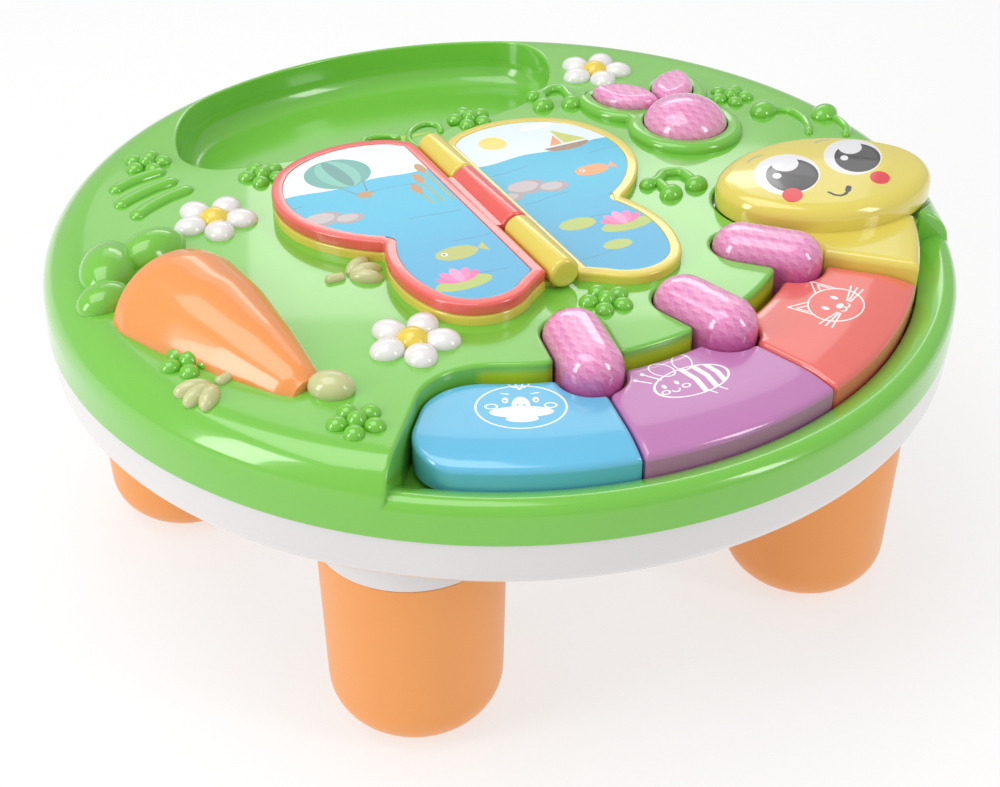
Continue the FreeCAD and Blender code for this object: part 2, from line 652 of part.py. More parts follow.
def top_shell():
    """Housing with pans under its tray, keys and lenses, and a shelf in front of the keys."""
    pan_top = DECK - S.shell_wall + 0.6
    wall = S.shell_wall
    shelf = ring("shelf_body", [
        (S.well_outer_radius - 1, FLOOR_UNDER, None), (S.well_outer_radius + wall, FLOOR_UNDER, None),
        (S.table_radius - wall, SEAM + S.shelf_outer_rise - S.shelf_round - wall, None),
        (S.table_radius - wall, SEAM + S.shelf_outer_rise + 2, None),
        (S.well_outer_radius - 1, SEAM + S.shelf_outer_rise + 2, None),
    ], S.well_start_angle - wall * WALL_ANGLE, S.well_end_angle + wall * WALL_ANGLE)
    pans = [
        tray_block("tray_pan", wall, DECK - S.tray_depth - wall, pan_top),
        well_block("well_pan", wall, FLOOR_UNDER, pan_top, S.well_end_angle), shelf,
        head_block("head_pan", S.head_gap + wall, DECK - S.head_recess - wall, pan_top),
    ]
    for index in range(3):
        pans.append(lens_block(f"lens_pan{index}", index, S.lens_gap + wall, FLOOR_UNDER, pan_top))
    for index, angle in enumerate(BOARD_POST_ANGLES):
        x, y = polar(S.board_post_circle, angle)
        pans.append(post(f"board_post{index}", x, y, BOARD_TOP, FLOOR_UNDER + 1))
    for index, angle in enumerate(LIGHT_POST_ANGLES):
        x, y = polar(S.light_post_circle, angle)
        pans.append(post(f"light_post{index}", S.radish_x + x, S.radish_y + y, LIGHT_BOARD_TOP, DECK - 1))
    for index, angle in enumerate(SHELL_SCREW_ANGLES):
        x, y = polar(S.shell_boss_circle, angle)
        pans.append(post(f"screw_post{index}", x, y, SEAM - S.post_reach, DECK - S.shell_wall - 1))
    body = fuse("housing_with_pans", [housing()] + pans + radish_collar())
    trimmed = common("housing_trimmed", body, revolve(side_sketch("trim_profile", [
        (0, SEAM - 20, None), (S.table_radius, SEAM - 20, None), (S.table_radius, SEAM, None),
    ] + shoulder_corners() + [(SHOULDER_START, DECK + 20, None), (0, DECK + 20, None)]), 360, "trim_dome"))
    tools = [
        bevel_edges("tray_hollow", tray_block("tray_room", 0, DECK - S.tray_depth, DECK + 10),
                    S.tray_floor_bevel, level_edge(DECK - S.tray_depth)),
        well_block("well_room", 0, FLOOR_TOP, DECK + 10, S.well_end_angle),
        ring("notch", shelf_outline(DECK + 10), S.well_start_angle, S.well_end_angle),
        head_block("head_room", S.head_gap, DECK - S.head_recess, DECK + 20),
    ]
    for index in range(3):
        tools.append(lens_block(f"lens_room{index}", index, S.lens_gap, FLOOR_TOP, DECK + 10))
        x, y = polar(S.lens_circle, LENS_ANGLES[index])
        tools.append(column(f"led_hole{index}", x, y, FLOOR_UNDER - 2, FLOOR_TOP + 1, S.led_radius + S.slide_clearance))
    for name, (angle, _) in KEYS.items():
        tools += hook_holes(name, angle, S.hook_angle, FLOOR_UNDER - 1, FLOOR_TOP + 1)
    tools += hook_holes("neck", NECK_ANGLE, S.neck_hook_angle, FLOOR_UNDER - 1, FLOOR_TOP + 1)
    tools += radish_cutters()
    for index, angle in enumerate(BOARD_POST_ANGLES):
        x, y = polar(S.board_post_circle, angle)
        tools.append(column(f"board_pilot{index}", x, y, BOARD_TOP - 1, FLOOR_UNDER, S.pilot_radius))
    for index, angle in enumerate(LIGHT_POST_ANGLES):
        x, y = polar(S.light_post_circle, angle)
        tools.append(column(f"light_pilot{index}", S.radish_x + x, S.radish_y + y, LIGHT_BOARD_TOP - 1,
                              LIGHT_BOARD_TOP + 6, S.pilot_radius))
    for index, angle in enumerate(SHELL_SCREW_ANGLES):
        x, y = polar(S.shell_boss_circle, angle)
        tools.append(column(f"screw_pilot{index}", x, y, SEAM - S.post_reach - 1, SEAM + 2, S.pilot_radius))
    return cut("top_shell", trimmed, tools)


# White bottom housing
def bay_tab(name, bottom, top, radius):
    """Round end of the battery door, where its screw sits."""
    return column(name, 0, S.bay_y + BAY_HALF_Y + 3, bottom, top, radius)


def bay_box(name, grow, bottom, top):
    half_x = BAY_HALF_X + grow
    half_y = BAY_HALF_Y + grow
    return prism(name, box_corners(-half_x, S.bay_y - half_y, half_x, S.bay_y + half_y), bottom, top)


def door_tongues(grow):
    """Two tongues at the front edge of the battery door."""
    front = S.bay_y - BAY_HALF_Y - 3
    tongues = []
    for side in (-1, 1):
        middle = BAY_HALF_X * 0.6 * side
        corners = box_corners(middle - 4 - grow, front - 2.5 - grow, middle + 4 + grow, front + 1)
        bottom = UNDERSIDE + S.door_thickness / 2
        tongues.append(prism(f"door_tongue{side + 2}", corners, bottom - grow / 2, bottom + 1.2 + grow / 2))
    return tongues


def bottom_shell():
    """Dished base with leg sockets, battery bay, screw columns and slots for speaker and switch."""
    outer = S.table_radius - S.base_inset
    inner = outer - S.base_wall
    corner = S.base_corner
    dish = revolve(side_sketch("base_profile", [(0, UNDERSIDE, None)]
                               + arc_corners(outer - corner, UNDERSIDE + corner, corner, -90, 0, 2) + [
        (outer, SEAM, None), (inner, SEAM, None), (inner, UNDERSIDE + corner, None),
        (inner - corner, BASE_FLOOR, None), (0, BASE_FLOOR, None),
    ]), 360, "base_dish")
    solids = [dish, bay_box("bay_walls", 5, UNDERSIDE + 0.5, CELL_AXIS + S.cell_radius + 3),
              bay_tab("door_boss", UNDERSIDE + 0.5, UNDERSIDE + 14, 7.5)]
    tools = [bay_box("bay_room", 0, UNDERSIDE + 1, CELL_AXIS + S.cell_radius + 0.6),
             bay_box("door_recess", 3 + S.door_gap, UNDERSIDE - 1, UNDERSIDE + S.door_thickness),
             bay_tab("door_tab_recess", UNDERSIDE - 1, UNDERSIDE + S.door_thickness, 5 + S.door_gap),
             bay_tab("door_pilot", UNDERSIDE, UNDERSIDE + 10, S.pilot_radius)] + door_tongues(0.2)
    for angle in LEG_ANGLES["front"] + LEG_ANGLES["rear"]:
        x, y = polar(S.leg_circle, angle)
        solids.append(column("leg_collar", x, y, LEG_TOP, UNDERSIDE + 1, S.leg_radius))
        tools.append(column("leg_socket", x, y, LEG_TOP - 1, UNDERSIDE, S.socket_radius))
    for angle in SHELL_SCREW_ANGLES:
        x, y = polar(S.shell_boss_circle, angle)
        solids.append(column("screw_column", x, y, UNDERSIDE + 1, SEAM - S.post_reach, 5.2))
        tools.append(column("screw_hole", x, y, UNDERSIDE - 1, SEAM, S.screw_radius + 0.3))
        tools.append(column("screw_head_room", x, y, UNDERSIDE - 1, SCREW_SHELF, S.screw_head_radius + 0.5))
    for index in range(-2, 3):
        half_run = 17 - abs(index) * 3
        corners = flat_slot(half_run, 1.2, 2)
        tools.append(prism("sound_slot", corners, UNDERSIDE - 1, BASE_FLOOR + 1, (0, S.speaker_y + 7 * index)))
    half_run = S.switch_travel + S.switch_knob / 2 + 0.4
    slot = box_corners(-half_run, -S.switch_knob / 3 - 0.3, half_run, S.switch_knob / 3 + 0.3)
    tools.append(prism("switch_slot", slot, UNDERSIDE - 1, BASE_FLOOR + 1, (0, S.switch_y)))
    return cut("bottom_shell", fuse("base_with_bosses", solids), tools)


def leg(name, angle):
    """Tapered cup-shaped leg with a rolled foot and a spigot on top."""
    x, y = polar(S.leg_circle, angle)
    spigot = S.socket_radius - S.spigot_gap
    top = LEG_TOP + S.spigot_length
    block = column(name + "_block", x, y, 0, LEG_TOP, S.leg_radius)
    taper = taper_edges(name + "_taper", block, LEG_TOP - 0.5, S.leg_radius - S.foot_radius, level_edge(0))
    outside = roll_edge(name + "_outside", taper, S.foot_round, 0, 1)
    neck = column(name + "_spigot", x, y, LEG_TOP - 1, top, spigot)
    room = bevel_edges(name + "_inside", column(name + "_room", x, y, 6, top + 1, spigot - 3), 14, level_edge(6))
    return cut(name, fuse(name + "_solid", [outside, neck]), [room])


def group(name, members):
    feature = doc.addObject("Part::Compound", name)
    feature.Links = members
    return feature


def legs(row):
    return group(f"{row}_legs", [leg(f"{row}_leg{side}", angle) for side, angle in enumerate(LEG_ANGLES[row])])


# Keys
def crown_corners(top, front, outer):
    """Side outline of what is cut away above the key's crown and front edge."""
    edge = front - S.key_front_round
    return [
        (-outer - 2, top + 2, None), (-outer - 2, edge, None), (-outer, edge, None),
        (S.key_front_round - outer, front, None), (-S.key_crown_start, top, None), (-S.key_crown_start, top + 2, None),
    ]


def end_edges(half, level):
    """Picks the edges round a key's two end faces that lie above a height."""
    limit = math.radians(half.number)

    def chosen(edge):
        points = edge.discretize(5)
        ends = all(abs(abs(math.atan2(point.x, -point.y)) - limit) < 1e-4 for point in points)
        return ends and all(point.z > level.number for point in points)

    return chosen


def add_hooks(body, name, top):
    """Two snap hooks that catch under the floor when the key is up."""
    barb_top = FLOOR_UNDER - S.stop_gap
    half = S.hook_width / 2
    depth = S.hook_depth / 2
    for side in (-1, 1):
        x, y = polar(S.hook_circle, S.hook_angle * side)
        outline = body_sketch(body, f"{name}_hook{side + 2}_outline", height=barb_top - S.hook_height)
        draw_outline(outline, box_corners(x - half, y - depth, x + half, y + depth))
        pad(body, outline, top - barb_top + S.hook_height, f"{name}_hook{side + 2}")
        barb = body_sketch(body, f"{name}_barb{side + 2}_outline", height=barb_top - S.hook_height)
        draw_outline(barb, box_corners(x - half, y - depth - S.hook_reach, x + half, y))
        pad(body, barb, S.hook_height, f"{name}_barb{side + 2}")


def key(name, start, end):
    """Hollow key turned about the table's axis, built facing the front and swung to its own angle."""
    body = new_body("key_" + name)
    middle = (start + end) / 2
    half = (end - start) / 2 - S.key_gap / 2 * WALL_ANGLE
    outer, inner = S.key_outer_radius, S.key_inner_radius
    top, skirt = SEAM + S.key_top_rise, SEAM + S.key_skirt_rise
    front = top - S.key_crown_drop
    section = body_sketch(body, name + "_section", "YZ_Plane")
    draw_outline(section, [(-outer, skirt, None), (-inner, skirt, None), (-inner, top, None), (-outer, top, None)])
    spin(body, section, half * 2, name + "_block")
    if name == "blue":
        limit = math.radians(half.number) * 0.9

        def left_end(edge):
            first, last = edge.Vertexes[0].Point, edge.Vertexes[-1].Point
            level = math.hypot(first.x - last.x, first.y - last.y) > 1e-4
            return not level and math.atan2(first.x, -first.y) < -limit

        body_round(body, "blue_left_end", S.key_end_round, left_end)
    crown = body_sketch(body, name + "_crown_section", "YZ_Plane")
    draw_outline(crown, crown_corners(top, front, outer))
    spin(body, crown, half * 3, name + "_crown", "PartDesign::Groove")
    body_bevel(body, name + "_edge", S.key_edge_round, end_edges(half, front - S.key_front_round - 0.1))
    hollow = body_sketch(body, name + "_hollow_section", "YZ_Plane")
    ceiling = front - S.key_wall - 0.8
    far = outer - S.key_wall
    near = S.hollow_inner_radius
    draw_outline(hollow, [(-far, skirt - 1, None), (-near, skirt - 1, None), (-near, ceiling, None), (-far, ceiling, None)])
    end_wall = S.key_wall + (S.key_end_round * 0.5 if name == "blue" else 0)
    spin(body, hollow, (half - end_wall * WALL_ANGLE) * 2, name + "_hollow", "PartDesign::Groove")
    stem = body_sketch(body, name + "_plunger_outline", height=PLUNGER_END)
    draw_outline(stem, arc_corners(as_size(0), -S.plunger_circle, S.plunger_radius, 0, 360, 8)[:-1])
    pad(body, stem, ceiling + 0.5 - PLUNGER_END, name + "_plunger")
    add_hooks(body, name, ceiling + 0.5)
    for index, lens_angle in enumerate(LENS_ANGLES):
        angle = lens_angle - middle
        if abs(angle.number) > half.number + 8:
            continue
        notch = body_sketch(body, f"{name}_lens_notch{index}_outline", height=skirt - 1)
        notch.AttachmentOffset = Placement(Vector(), Rotation(Vector(0, 0, 1), angle.number - 90))
        x, y = polar(S.lens_circle, angle)
        for prop, size in (("x", x), ("y", y), ("z", skirt - 1)):
            bind(notch, f"AttachmentOffset.Base.{prop}", size)
        draw_outline(notch, flat_slot(S.lens_half_run, S.lens_half_width + S.key_gap))
        pocket(body, notch, 40, f"{name}_lens_notch{index}", upwards=True)
    body.Placement = Placement(Vector(), Rotation(Vector(0, 0, 1), middle.number))
    return body


def head_key():
    """Fourth key: an oval head on a short neck that continues the row of keys."""
    start, end = NECK_START + 0.2, S.well_end_angle - 0.4
    top = SEAM + S.neck_top_rise
    head_bottom = DECK - S.stop_gap * 2
    outer, inner = S.key_outer_radius, S.key_inner_radius
    wall = S.key_wall
    neck = ring("neck_block", [(inner, SEAM + S.key_skirt_rise, None), (outer, SEAM + S.key_skirt_rise, None),
                               (outer, top + 3, None), (inner, top + 3, None)], start, end)
    head = bevel_edges("head_bevelled", head_block("head_solid", 0, head_bottom, SEAM + S.head_top_rise),
                       S.head_bevel, level_edge(SEAM + S.head_top_rise))
    room = head_block("head_inside", -wall, head_bottom - 1, SEAM + S.head_top_rise - S.head_bevel - wall)
    hollow_neck = ring("neck_inside", [
        (inner + wall, SEAM, None), (outer - wall, SEAM, None), (outer - wall, top - wall, None),
        (inner + wall, top - wall, None),
    ], start + wall * WALL_ANGLE, end - wall * WALL_ANGLE)
    shell = cut("head_and_neck_hollow", fuse("head_and_neck", [neck, head]),
                [room, hollow_neck, lens_block("neck_lens_room", 2, S.key_gap, SEAM, DECK + 40)])
    ceiling = top - wall + 0.5
    x, y = polar(S.plunger_circle, NECK_ANGLE)
    stems = [column("neck_plunger", x, y, PLUNGER_END, ceiling, S.plunger_radius)]
    barb_bottom = FLOOR_UNDER - S.stop_gap - S.hook_height
    half, depth = S.hook_width / 2, S.hook_depth / 2
    for side in (-1, 1):
        spot = polar(S.hook_circle, NECK_ANGLE + S.neck_hook_angle * side)
        shank = box_corners(-half, -depth, half, depth)
        stems.append(prism(f"neck_hook{side + 2}", shank, barb_bottom, ceiling, spot, NECK_ANGLE))
        barb = box_corners(-half, -depth - S.hook_reach, half, 0)
        stems.append(prism(f"neck_barb{side + 2}", barb, barb_bottom, barb_bottom + S.hook_height, spot, NECK_ANGLE))
    return fuse("key_head", [shell] + stems)


# Butterfly book
def lying_cylinder(name, y_from, y_to, radius):
    """Cylinder along the book's axis."""
    feature = doc.addObject("Part::Cylinder", name)
    feature.Placement = Placement(Vector(), Rotation(Vector(1, 0, 0), -90))
    for prop, size in (("x", S.book_x), ("y", y_from), ("z", BOOK_AXIS)):
        bind(feature, f"Placement.Base.{prop}", size)
    bind(feature, "Radius", radius)
    bind(feature, "Height", y_to - y_from)
    return feature


def knuckle(name, y_from, y_to):
    return lying_cylinder(name, y_from, y_to, S.barrel_radius)


def picture_room(name, side, bottom, top):
    return prism(name, wing_corners(S.picture_margin, side), bottom, top)


def spine_cutter(name, bottom, top, reach):
    half = S.barrel_radius + reach
    return prism(name, box_corners(S.book_x - half, S.knuckle_front_y - S.knuckle_gap,
                                   S.book_x + half, S.knuckle_back_y + S.knuckle_gap), bottom, top)


def book_base():
    """Fixed butterfly plate with the two outer hinge knuckles."""
    plates = [prism(f"base_wing{side + 2}", wing_corners(0, side), DECK, BASE_TOP) for side in (-1, 1)]
    spine = prism("base_spine", box_corners(S.book_x - S.page_inner - 1, -76, S.book_x + S.page_inner + 1, 60), DECK,
                  DECK + 2.4)
    front = knuckle("base_front_knuckle", S.barrel_front_y, S.knuckle_front_y - S.knuckle_gap)
    back = knuckle("base_back_knuckle", S.knuckle_back_y + S.knuckle_gap, S.barrel_back_y)
    webs = []
    for index, (y_from, y_to) in enumerate(((S.barrel_front_y + 2, S.knuckle_front_y - S.knuckle_gap),
                                            (S.knuckle_back_y + S.knuckle_gap, S.barrel_back_y - 2))):
        webs.append(prism(f"base_web{index}", box_corners(S.book_x - 4, y_from, S.book_x + 4, y_to), DECK,
                          BOOK_AXIS - 2))
    solid = fuse("base_solid", plates + [spine, front, back] + webs)
    depth = BASE_TOP - S.picture_recess
    tools = [picture_room(f"base_picture{side + 2}", side, depth, BASE_TOP + 1) for side in (-1, 1)]
    tools.append(lying_cylinder("base_swing_room", S.knuckle_front_y - S.knuckle_gap, S.knuckle_back_y + S.knuckle_gap,
                                S.barrel_radius + S.knuckle_gap))
    tools.append(lying_cylinder("base_pin_hole", S.barrel_front_y - 1, S.barrel_back_y - 3, S.pin_radius))
    return cut("book_base", solid, tools)


def book_page():
    """Turning page: a hollow-backed wing with its own hinge knuckle."""
    top = PAGE_BOTTOM + S.page_thickness
    wing = prism("page_wing", wing_corners(0, -1), PAGE_BOTTOM, top)
    barrel = knuckle("page_knuckle", S.knuckle_front_y, S.knuckle_back_y)
    bridge = prism("page_bridge", box_corners(S.book_x - S.page_inner - 2, S.knuckle_front_y, S.book_x - 3,
                                              S.knuckle_back_y), PAGE_BOTTOM + 0.4, top)
    solid = fuse("page_solid", [wing, barrel, bridge])
    tools = [picture_room("page_front_picture", -1, top - S.picture_recess, top + 1),
             picture_room("page_back_picture", -1, PAGE_BOTTOM - 1, PAGE_BOTTOM + S.picture_recess),
             lying_cylinder("page_pin_hole", S.knuckle_front_y - 1, S.knuckle_back_y + 1, S.pin_radius + S.pin_clearance)]
    return cut("book_page", solid, tools)


def book_pieces():
    return {
        "book_base": book_base(), "book_page": book_page(),
        "hinge_pin": lying_cylinder("hinge_pin", S.barrel_front_y, S.barrel_back_y - 3, S.pin_radius),
    }


# Lights and the radish button
def light_lens():
    """One clear moulding: three domed lenses joined by a strip behind the keys."""
    top = SEAM + S.lens_top_rise
    domes, rooms = [], []
    for index in range(3):
        block = lens_block(f"lens{index}", index, 0, FLOOR_TOP, top)
        domes.append(bevel_edges(f"lens_dome{index}", block, S.lens_bevel, level_edge(top)))
        room = lens_block(f"lens_inside{index}", index, -S.lens_wall, FLOOR_TOP - 1, top - S.lens_wall)
        rooms.append(bevel_edges(f"lens_room{index}", room, S.lens_bevel - 0.8, level_edge(top - S.lens_wall)))
    web_bottom = SEAM + S.web_rise
    web = ring("lens_web", [
        (S.well_inner_radius + 0.3, web_bottom, None), (S.key_inner_radius - 0.3, web_bottom, None),
        (S.key_inner_radius - 0.3, web_bottom + S.web_thickness, None),
        (S.well_inner_radius + 0.3, web_bottom + S.web_thickness, None),
    ], LENS_ANGLES[0] - 2, LENS_ANGLES[2] + 2)
    return cut("light_lens", fuse("lens_solid", domes + [web]), rooms)


def light_diffusers():
    """Frosted cups under the lenses, one over each lamp."""
    cups = []
    for index in range(3):
        grow = -(S.lens_wall + S.diffuser_gap)
        top = SEAM + S.lens_top_rise - S.lens_wall - S.diffuser_gap
        cup = bevel_edges(f"diffuser_cup{index}", lens_block(f"diffuser_block{index}", index, grow, FLOOR_TOP, top),
                          S.diffuser_slope, level_edge(top))
        inside = lens_block(f"diffuser_inside{index}", index, grow - 1.4, FLOOR_TOP - 1, top - S.diffuser_slope)
        cups.append(cut(f"diffuser{index}", cup, [inside]))
    return group("light_diffusers", cups)


def radish_dome(name, bottom, brim, radius, height):
    """Round bar from a foot up to the radish's domed root, which is cut in flats like the real one."""
    bar = column(name + "_bar", S.radish_x, S.radish_y, bottom, brim + height, radius)
    return roll_edge(name, bar, height * 1.25, brim + height)


def radish_button():
    """Clear radish: domed root and two leaves on one flange under the deck."""
    top = DECK + S.radish_base_rise
    flange_bottom = DECK - S.shell_wall - S.stop_gap - S.radish_flange
    flange_top = DECK - S.shell_wall - S.stop_gap
    wall = S.radish_wall
    root = radish_dome("radish_root", flange_bottom, top, S.radish_radius, S.radish_height)
    flange = column("radish_flange", S.radish_x, S.radish_y, flange_bottom, flange_top, S.radish_radius + 1.7)
    solids = [root, flange]
    leaf_top = top + S.radish_leaf_height
    for side in (-1, 1):
        blade = radish_leaf(f"radish_blade{side + 2}", side, 0, flange_bottom, leaf_top)
        solids.append(bevel_edges(f"radish_blade_bevel{side + 2}", blade, 2.6, level_edge(leaf_top)))
        solids.append(radish_leaf(f"radish_leaf_flange{side + 2}", side, 1.5, flange_bottom, flange_top))
    tools = [radish_dome("radish_room", flange_bottom - 1, top, S.radish_radius - wall, S.radish_height - wall)]
    for side in (-1, 1):
        tools.append(radish_leaf(f"radish_leaf_room{side + 2}", side, -wall, flange_bottom - 1, leaf_top - 3))
    return cut("radish_button", fuse("radish_solid", solids), tools)


def radish_diffuser():
    """Frosted cup inside the radish, with the stem that works its contact."""
    bottom = DECK - S.shell_wall - S.stop_gap - S.radish_flange
    reach = S.radish_radius - S.radish_wall - S.slide_clearance
    cup_top = DECK + S.radish_base_rise + S.radish_height * 0.4
    cup = column("radish_cup", S.radish_x, S.radish_y, bottom, cup_top, reach - 4)
    room = column("radish_cup_room", S.radish_x, S.radish_y, bottom - 1, cup_top - 1.4, reach - 5.4)
    hollow = cut("radish_cup_hollow", cup, [room])
    arm = prism("radish_arm", box_corners(S.radish_x - reach + 5, S.radish_y - 11.5, S.radish_x + reach - 5,
                                          S.radish_y - 6.5), bottom, bottom + 2)
    stem = column("radish_stem", S.radish_x, S.radish_y - 9, LIGHT_BOARD_TOP + S.pad_height + 0.05, bottom + 1, 3)
    return fuse("radish_diffuser", [hollow, arm, stem])


# Carrot and flowers fixed on the deck
LEAVES = [("small", -186, -2, 4, 8, 7, 20), ("long", -178, 22, 13, 9.5, 8, 68), ("top", -155, 29, 8, 9, 8, 20)]
DAISIES = [(S.daisy_left_x, S.daisy_left_y), (S.daisy_front_x, S.daisy_front_y), (S.daisy_right_x, S.daisy_right_y)]


def carrot_turned(name):
    """Plain carrot turned about its own tilted axis, half sunk in the deck."""
    stations = [(0, 0.0), (0.05, 0.66), (0.20, 1.0), (0.42, 0.88), (0.95, 0.34), (1.0, 0.2)]
    sketch = doc.addObject("Sketcher::SketchObject", name + "_outline")
    corners = [(S.carrot_length * along, -(S.carrot_radius * wide), None) for along, wide in stations]
    corners.append((S.carrot_length, 0, None))
    draw_outline(sketch, corners)
    swing = Rotation(Vector(0, 0, 1), S.carrot_turn.number) * Rotation(Vector(0, 1, 0), S.carrot_tilt.number)
    sketch.Placement = Placement(Vector(), swing)
    for prop, size in (("x", S.carrot_crown_x), ("y", S.carrot_crown_y), ("z", DECK - S.carrot_sink)):
        bind(sketch, f"Placement.Base.{prop}", size)
    solid = doc.addObject("Part::Revolution", name)
    solid.Source = sketch
    solid.AxisLink = (sketch, ["H_Axis"])
    solid.Solid = True
    bind(solid, "Angle", 360)
    return solid


def carrot():
    return common("carrot", carrot_turned("carrot_turned"), column("carrot_room", 0, 0, DECK, DECK + 80, S.table_radius))


def carrot_leaves():
    """Three rounded leaves at the carrot's crown."""
    leaves = []
    for name, x, y, half_run, half_width, height, turn in LEAVES:
        block = prism(f"leaf_{name}_block", flat_slot(half_run, half_width, 4), DECK, DECK + height, (x, y), turn)
        leaves.append(bevel_edges(f"leaf_{name}", block, 3.5, level_edge(DECK + height)))
    return cut("carrot_leaves", fuse("leaves_solid", leaves), [carrot_turned("leaf_carrot_room")])


def daisy_petals():
    petals = []
    for flower, (x, y) in enumerate(DAISIES):
        for index in range(5):
            turn = S.daisy_phase + 72 * index
            spot_x = x + S.daisy_reach * cos(turn)
            spot_y = y + S.daisy_reach * sin(turn)
            petals.append(column(f"petal{flower}_{index}", spot_x, spot_y, DECK, DECK + S.petal_height,
                                   S.petal_radius))
    eyes = [column(f"petal_eye{flower}", x, y, DECK - 1, DECK + 10, S.daisy_centre_radius)
            for flower, (x, y) in enumerate(DAISIES)]
    return cut("daisy_petals", fuse("petals_solid", petals), eyes)


def daisy_centres():
    centres = []
    for flower, (x, y) in enumerate(DAISIES):
        top = DECK + S.daisy_centre_height
        button = column(f"daisy_button{flower}", x, y, DECK, top, S.daisy_centre_radius)
        centres.append(bevel_edges(f"daisy_centre{flower}", button, S.daisy_centre_radius * 0.35, level_edge(top)))
    return group("daisy_centres", centres)


# Electronics, batteries and fasteners
def main_board():
    """Curved board under the keys, screwed to four posts of the top housing."""
    board = ring("board_blank", [
        (S.board_inner_radius, BOARD_UNDER, None), (S.board_outer_radius, BOARD_UNDER, None),
        (S.board_outer_radius, BOARD_TOP, None), (S.board_inner_radius, BOARD_TOP, None),
    ], S.well_start_angle + 1.4, S.well_end_angle - 0.6)
    holes = []
    for index, angle in enumerate(BOARD_POST_ANGLES):
        x, y = polar(S.board_post_circle, angle)
        holes.append(column(f"board_hole{index}", x, y, BOARD_UNDER - 1, BOARD_TOP + 1, S.screw_radius + 0.2))
    return cut("main_board", board, holes)


def radish_board():
    board = column("radish_board_blank", S.radish_x, S.radish_y, LIGHT_BOARD_TOP - S.board_thickness,
                     LIGHT_BOARD_TOP, S.light_post_circle + 4)
    holes = []
    for index, angle in enumerate(LIGHT_POST_ANGLES):
        x, y = polar(S.light_post_circle, angle)
        holes.append(column(f"radish_board_hole{index}", S.radish_x + x, S.radish_y + y,
                              LIGHT_BOARD_TOP - S.board_thickness - 1, LIGHT_BOARD_TOP + 1, S.screw_radius + 0.2))
    return cut("radish_board", board, holes)


def dome_pad(name, x, y, bottom):
    """Rubber dome that pushes a button back up: a thin-walled stepped cap with a solid top."""
    base = S.pad_base_radius
    skirt = prism(name + "_skirt", round_corners(12, base), bottom, bottom + 1.2, (x, y))
    body = prism(name + "_body", round_corners(12, S.plunger_radius + 2), bottom, bottom + S.pad_height, (x, y))
    room = prism(name + "_room", round_corners(12, S.plunger_radius + 1), bottom - 1, bottom + S.pad_height - 1.4, (x, y))
    return cut(name, fuse(name + "_solid", [skirt, body]), [room])


def dome_pads():
    pads = {}
    angles = {name: angle for name, (angle, _) in KEYS.items()}
    angles["head"] = NECK_ANGLE
    for name, angle in angles.items():
        x, y = polar(S.plunger_circle, angle)
        pads[f"pad_{name}"] = dome_pad(f"pad_{name}", x, y, BOARD_TOP)
    pads["pad_radish"] = dome_pad("pad_radish", S.radish_x, S.radish_y - 9, LIGHT_BOARD_TOP)
    return pads


def leds():
    """Round lamps under the three lenses and the radish."""
    lamps = []
    spots = [polar(S.lens_circle, angle) for angle in LENS_ANGLES]
    for index, (x, y) in enumerate(spots):
        lamps.append(column(f"lamp{index}", x, y, BOARD_TOP, BOARD_TOP + S.led_height, S.led_radius))
    lamps.append(column("lamp_radish", S.radish_x, S.radish_y + 5, LIGHT_BOARD_TOP, LIGHT_BOARD_TOP + S.led_height,
                          S.led_radius))
    return group("leds", lamps)


def speaker():
    """Loudspeaker facing down on the base: rim, cone basket and magnet."""
    floor = BASE_FLOOR
    outer = S.speaker_radius
    y = S.speaker_y
    rim = column("speaker_rim", 0, y, floor, floor + 3, outer)
    basket = column("speaker_basket", 0, y, floor + 3, floor + 9, outer - 5)
    magnet = column("speaker_magnet", 0, y, floor + 9, floor + S.speaker_depth, outer * 0.5)
    room = column("speaker_cone_room", 0, y, floor - 1, floor + 7, outer - 7)
    return cut("speaker", fuse("speaker_solid", [rim, basket, magnet]), [room])


def cell(index):
    """One AA cell with its button end, lying along X; every other one is turned round."""
    y = S.bay_y + S.cell_pitch * (index - 1)
    way = 1 if index % 2 == 0 else -1
    parts = []
    button = 1.2
    lengths = ((S.cell_length - button, S.cell_radius, -S.cell_length / 2), (as_size(button), as_size(2.75),
               S.cell_length / 2 - button))
    for step, (length, radius, start) in enumerate(lengths):
        feature = doc.addObject("Part::Prism", f"cell{index}_{step}")
        feature.Polygon = flats(radius)
        feature.Placement = Placement(Vector(), Rotation(Vector(0, 1, 0), 90 * way))
        for prop, size in (("x", start * way), ("y", y), ("z", CELL_AXIS)):
            bind(feature, f"Placement.Base.{prop}", size)
        bind(feature, "Circumradius", radius)
        bind(feature, "Height", length)
        parts.append(feature)
    return fuse(f"cell{index}", parts)


def battery_contacts():
    """Plates at both ends of the bay."""
    plates = []
    for index in range(3):
        y = S.bay_y + S.cell_pitch * (index - 1)
        for side in (-1, 1):
            near = S.cell_length / 2 + 0.3
            far = BAY_HALF_X
            left, right = (near, far) if side > 0 else (-far, -near)
            plates.append(prism(f"contact{index}_{side + 2}", box_corners(left, y - 4, right, y + 4),
                                CELL_AXIS - 4, CELL_AXIS + 4))
    return group("battery_contacts", plates)


def battery_door():
    """Screwed cover flush with the underside."""
    top = UNDERSIDE + S.door_thickness
    plate = bay_box("door_plate", 3, UNDERSIDE, top)
    tab = bay_tab("door_tab", UNDERSIDE, top, 5)
    hole = bay_tab("door_hole", UNDERSIDE - 1, top + 1, S.screw_radius + 0.2)
    return cut("battery_door", fuse("door_solid", [plate, tab] + door_tongues(0)), [hole])


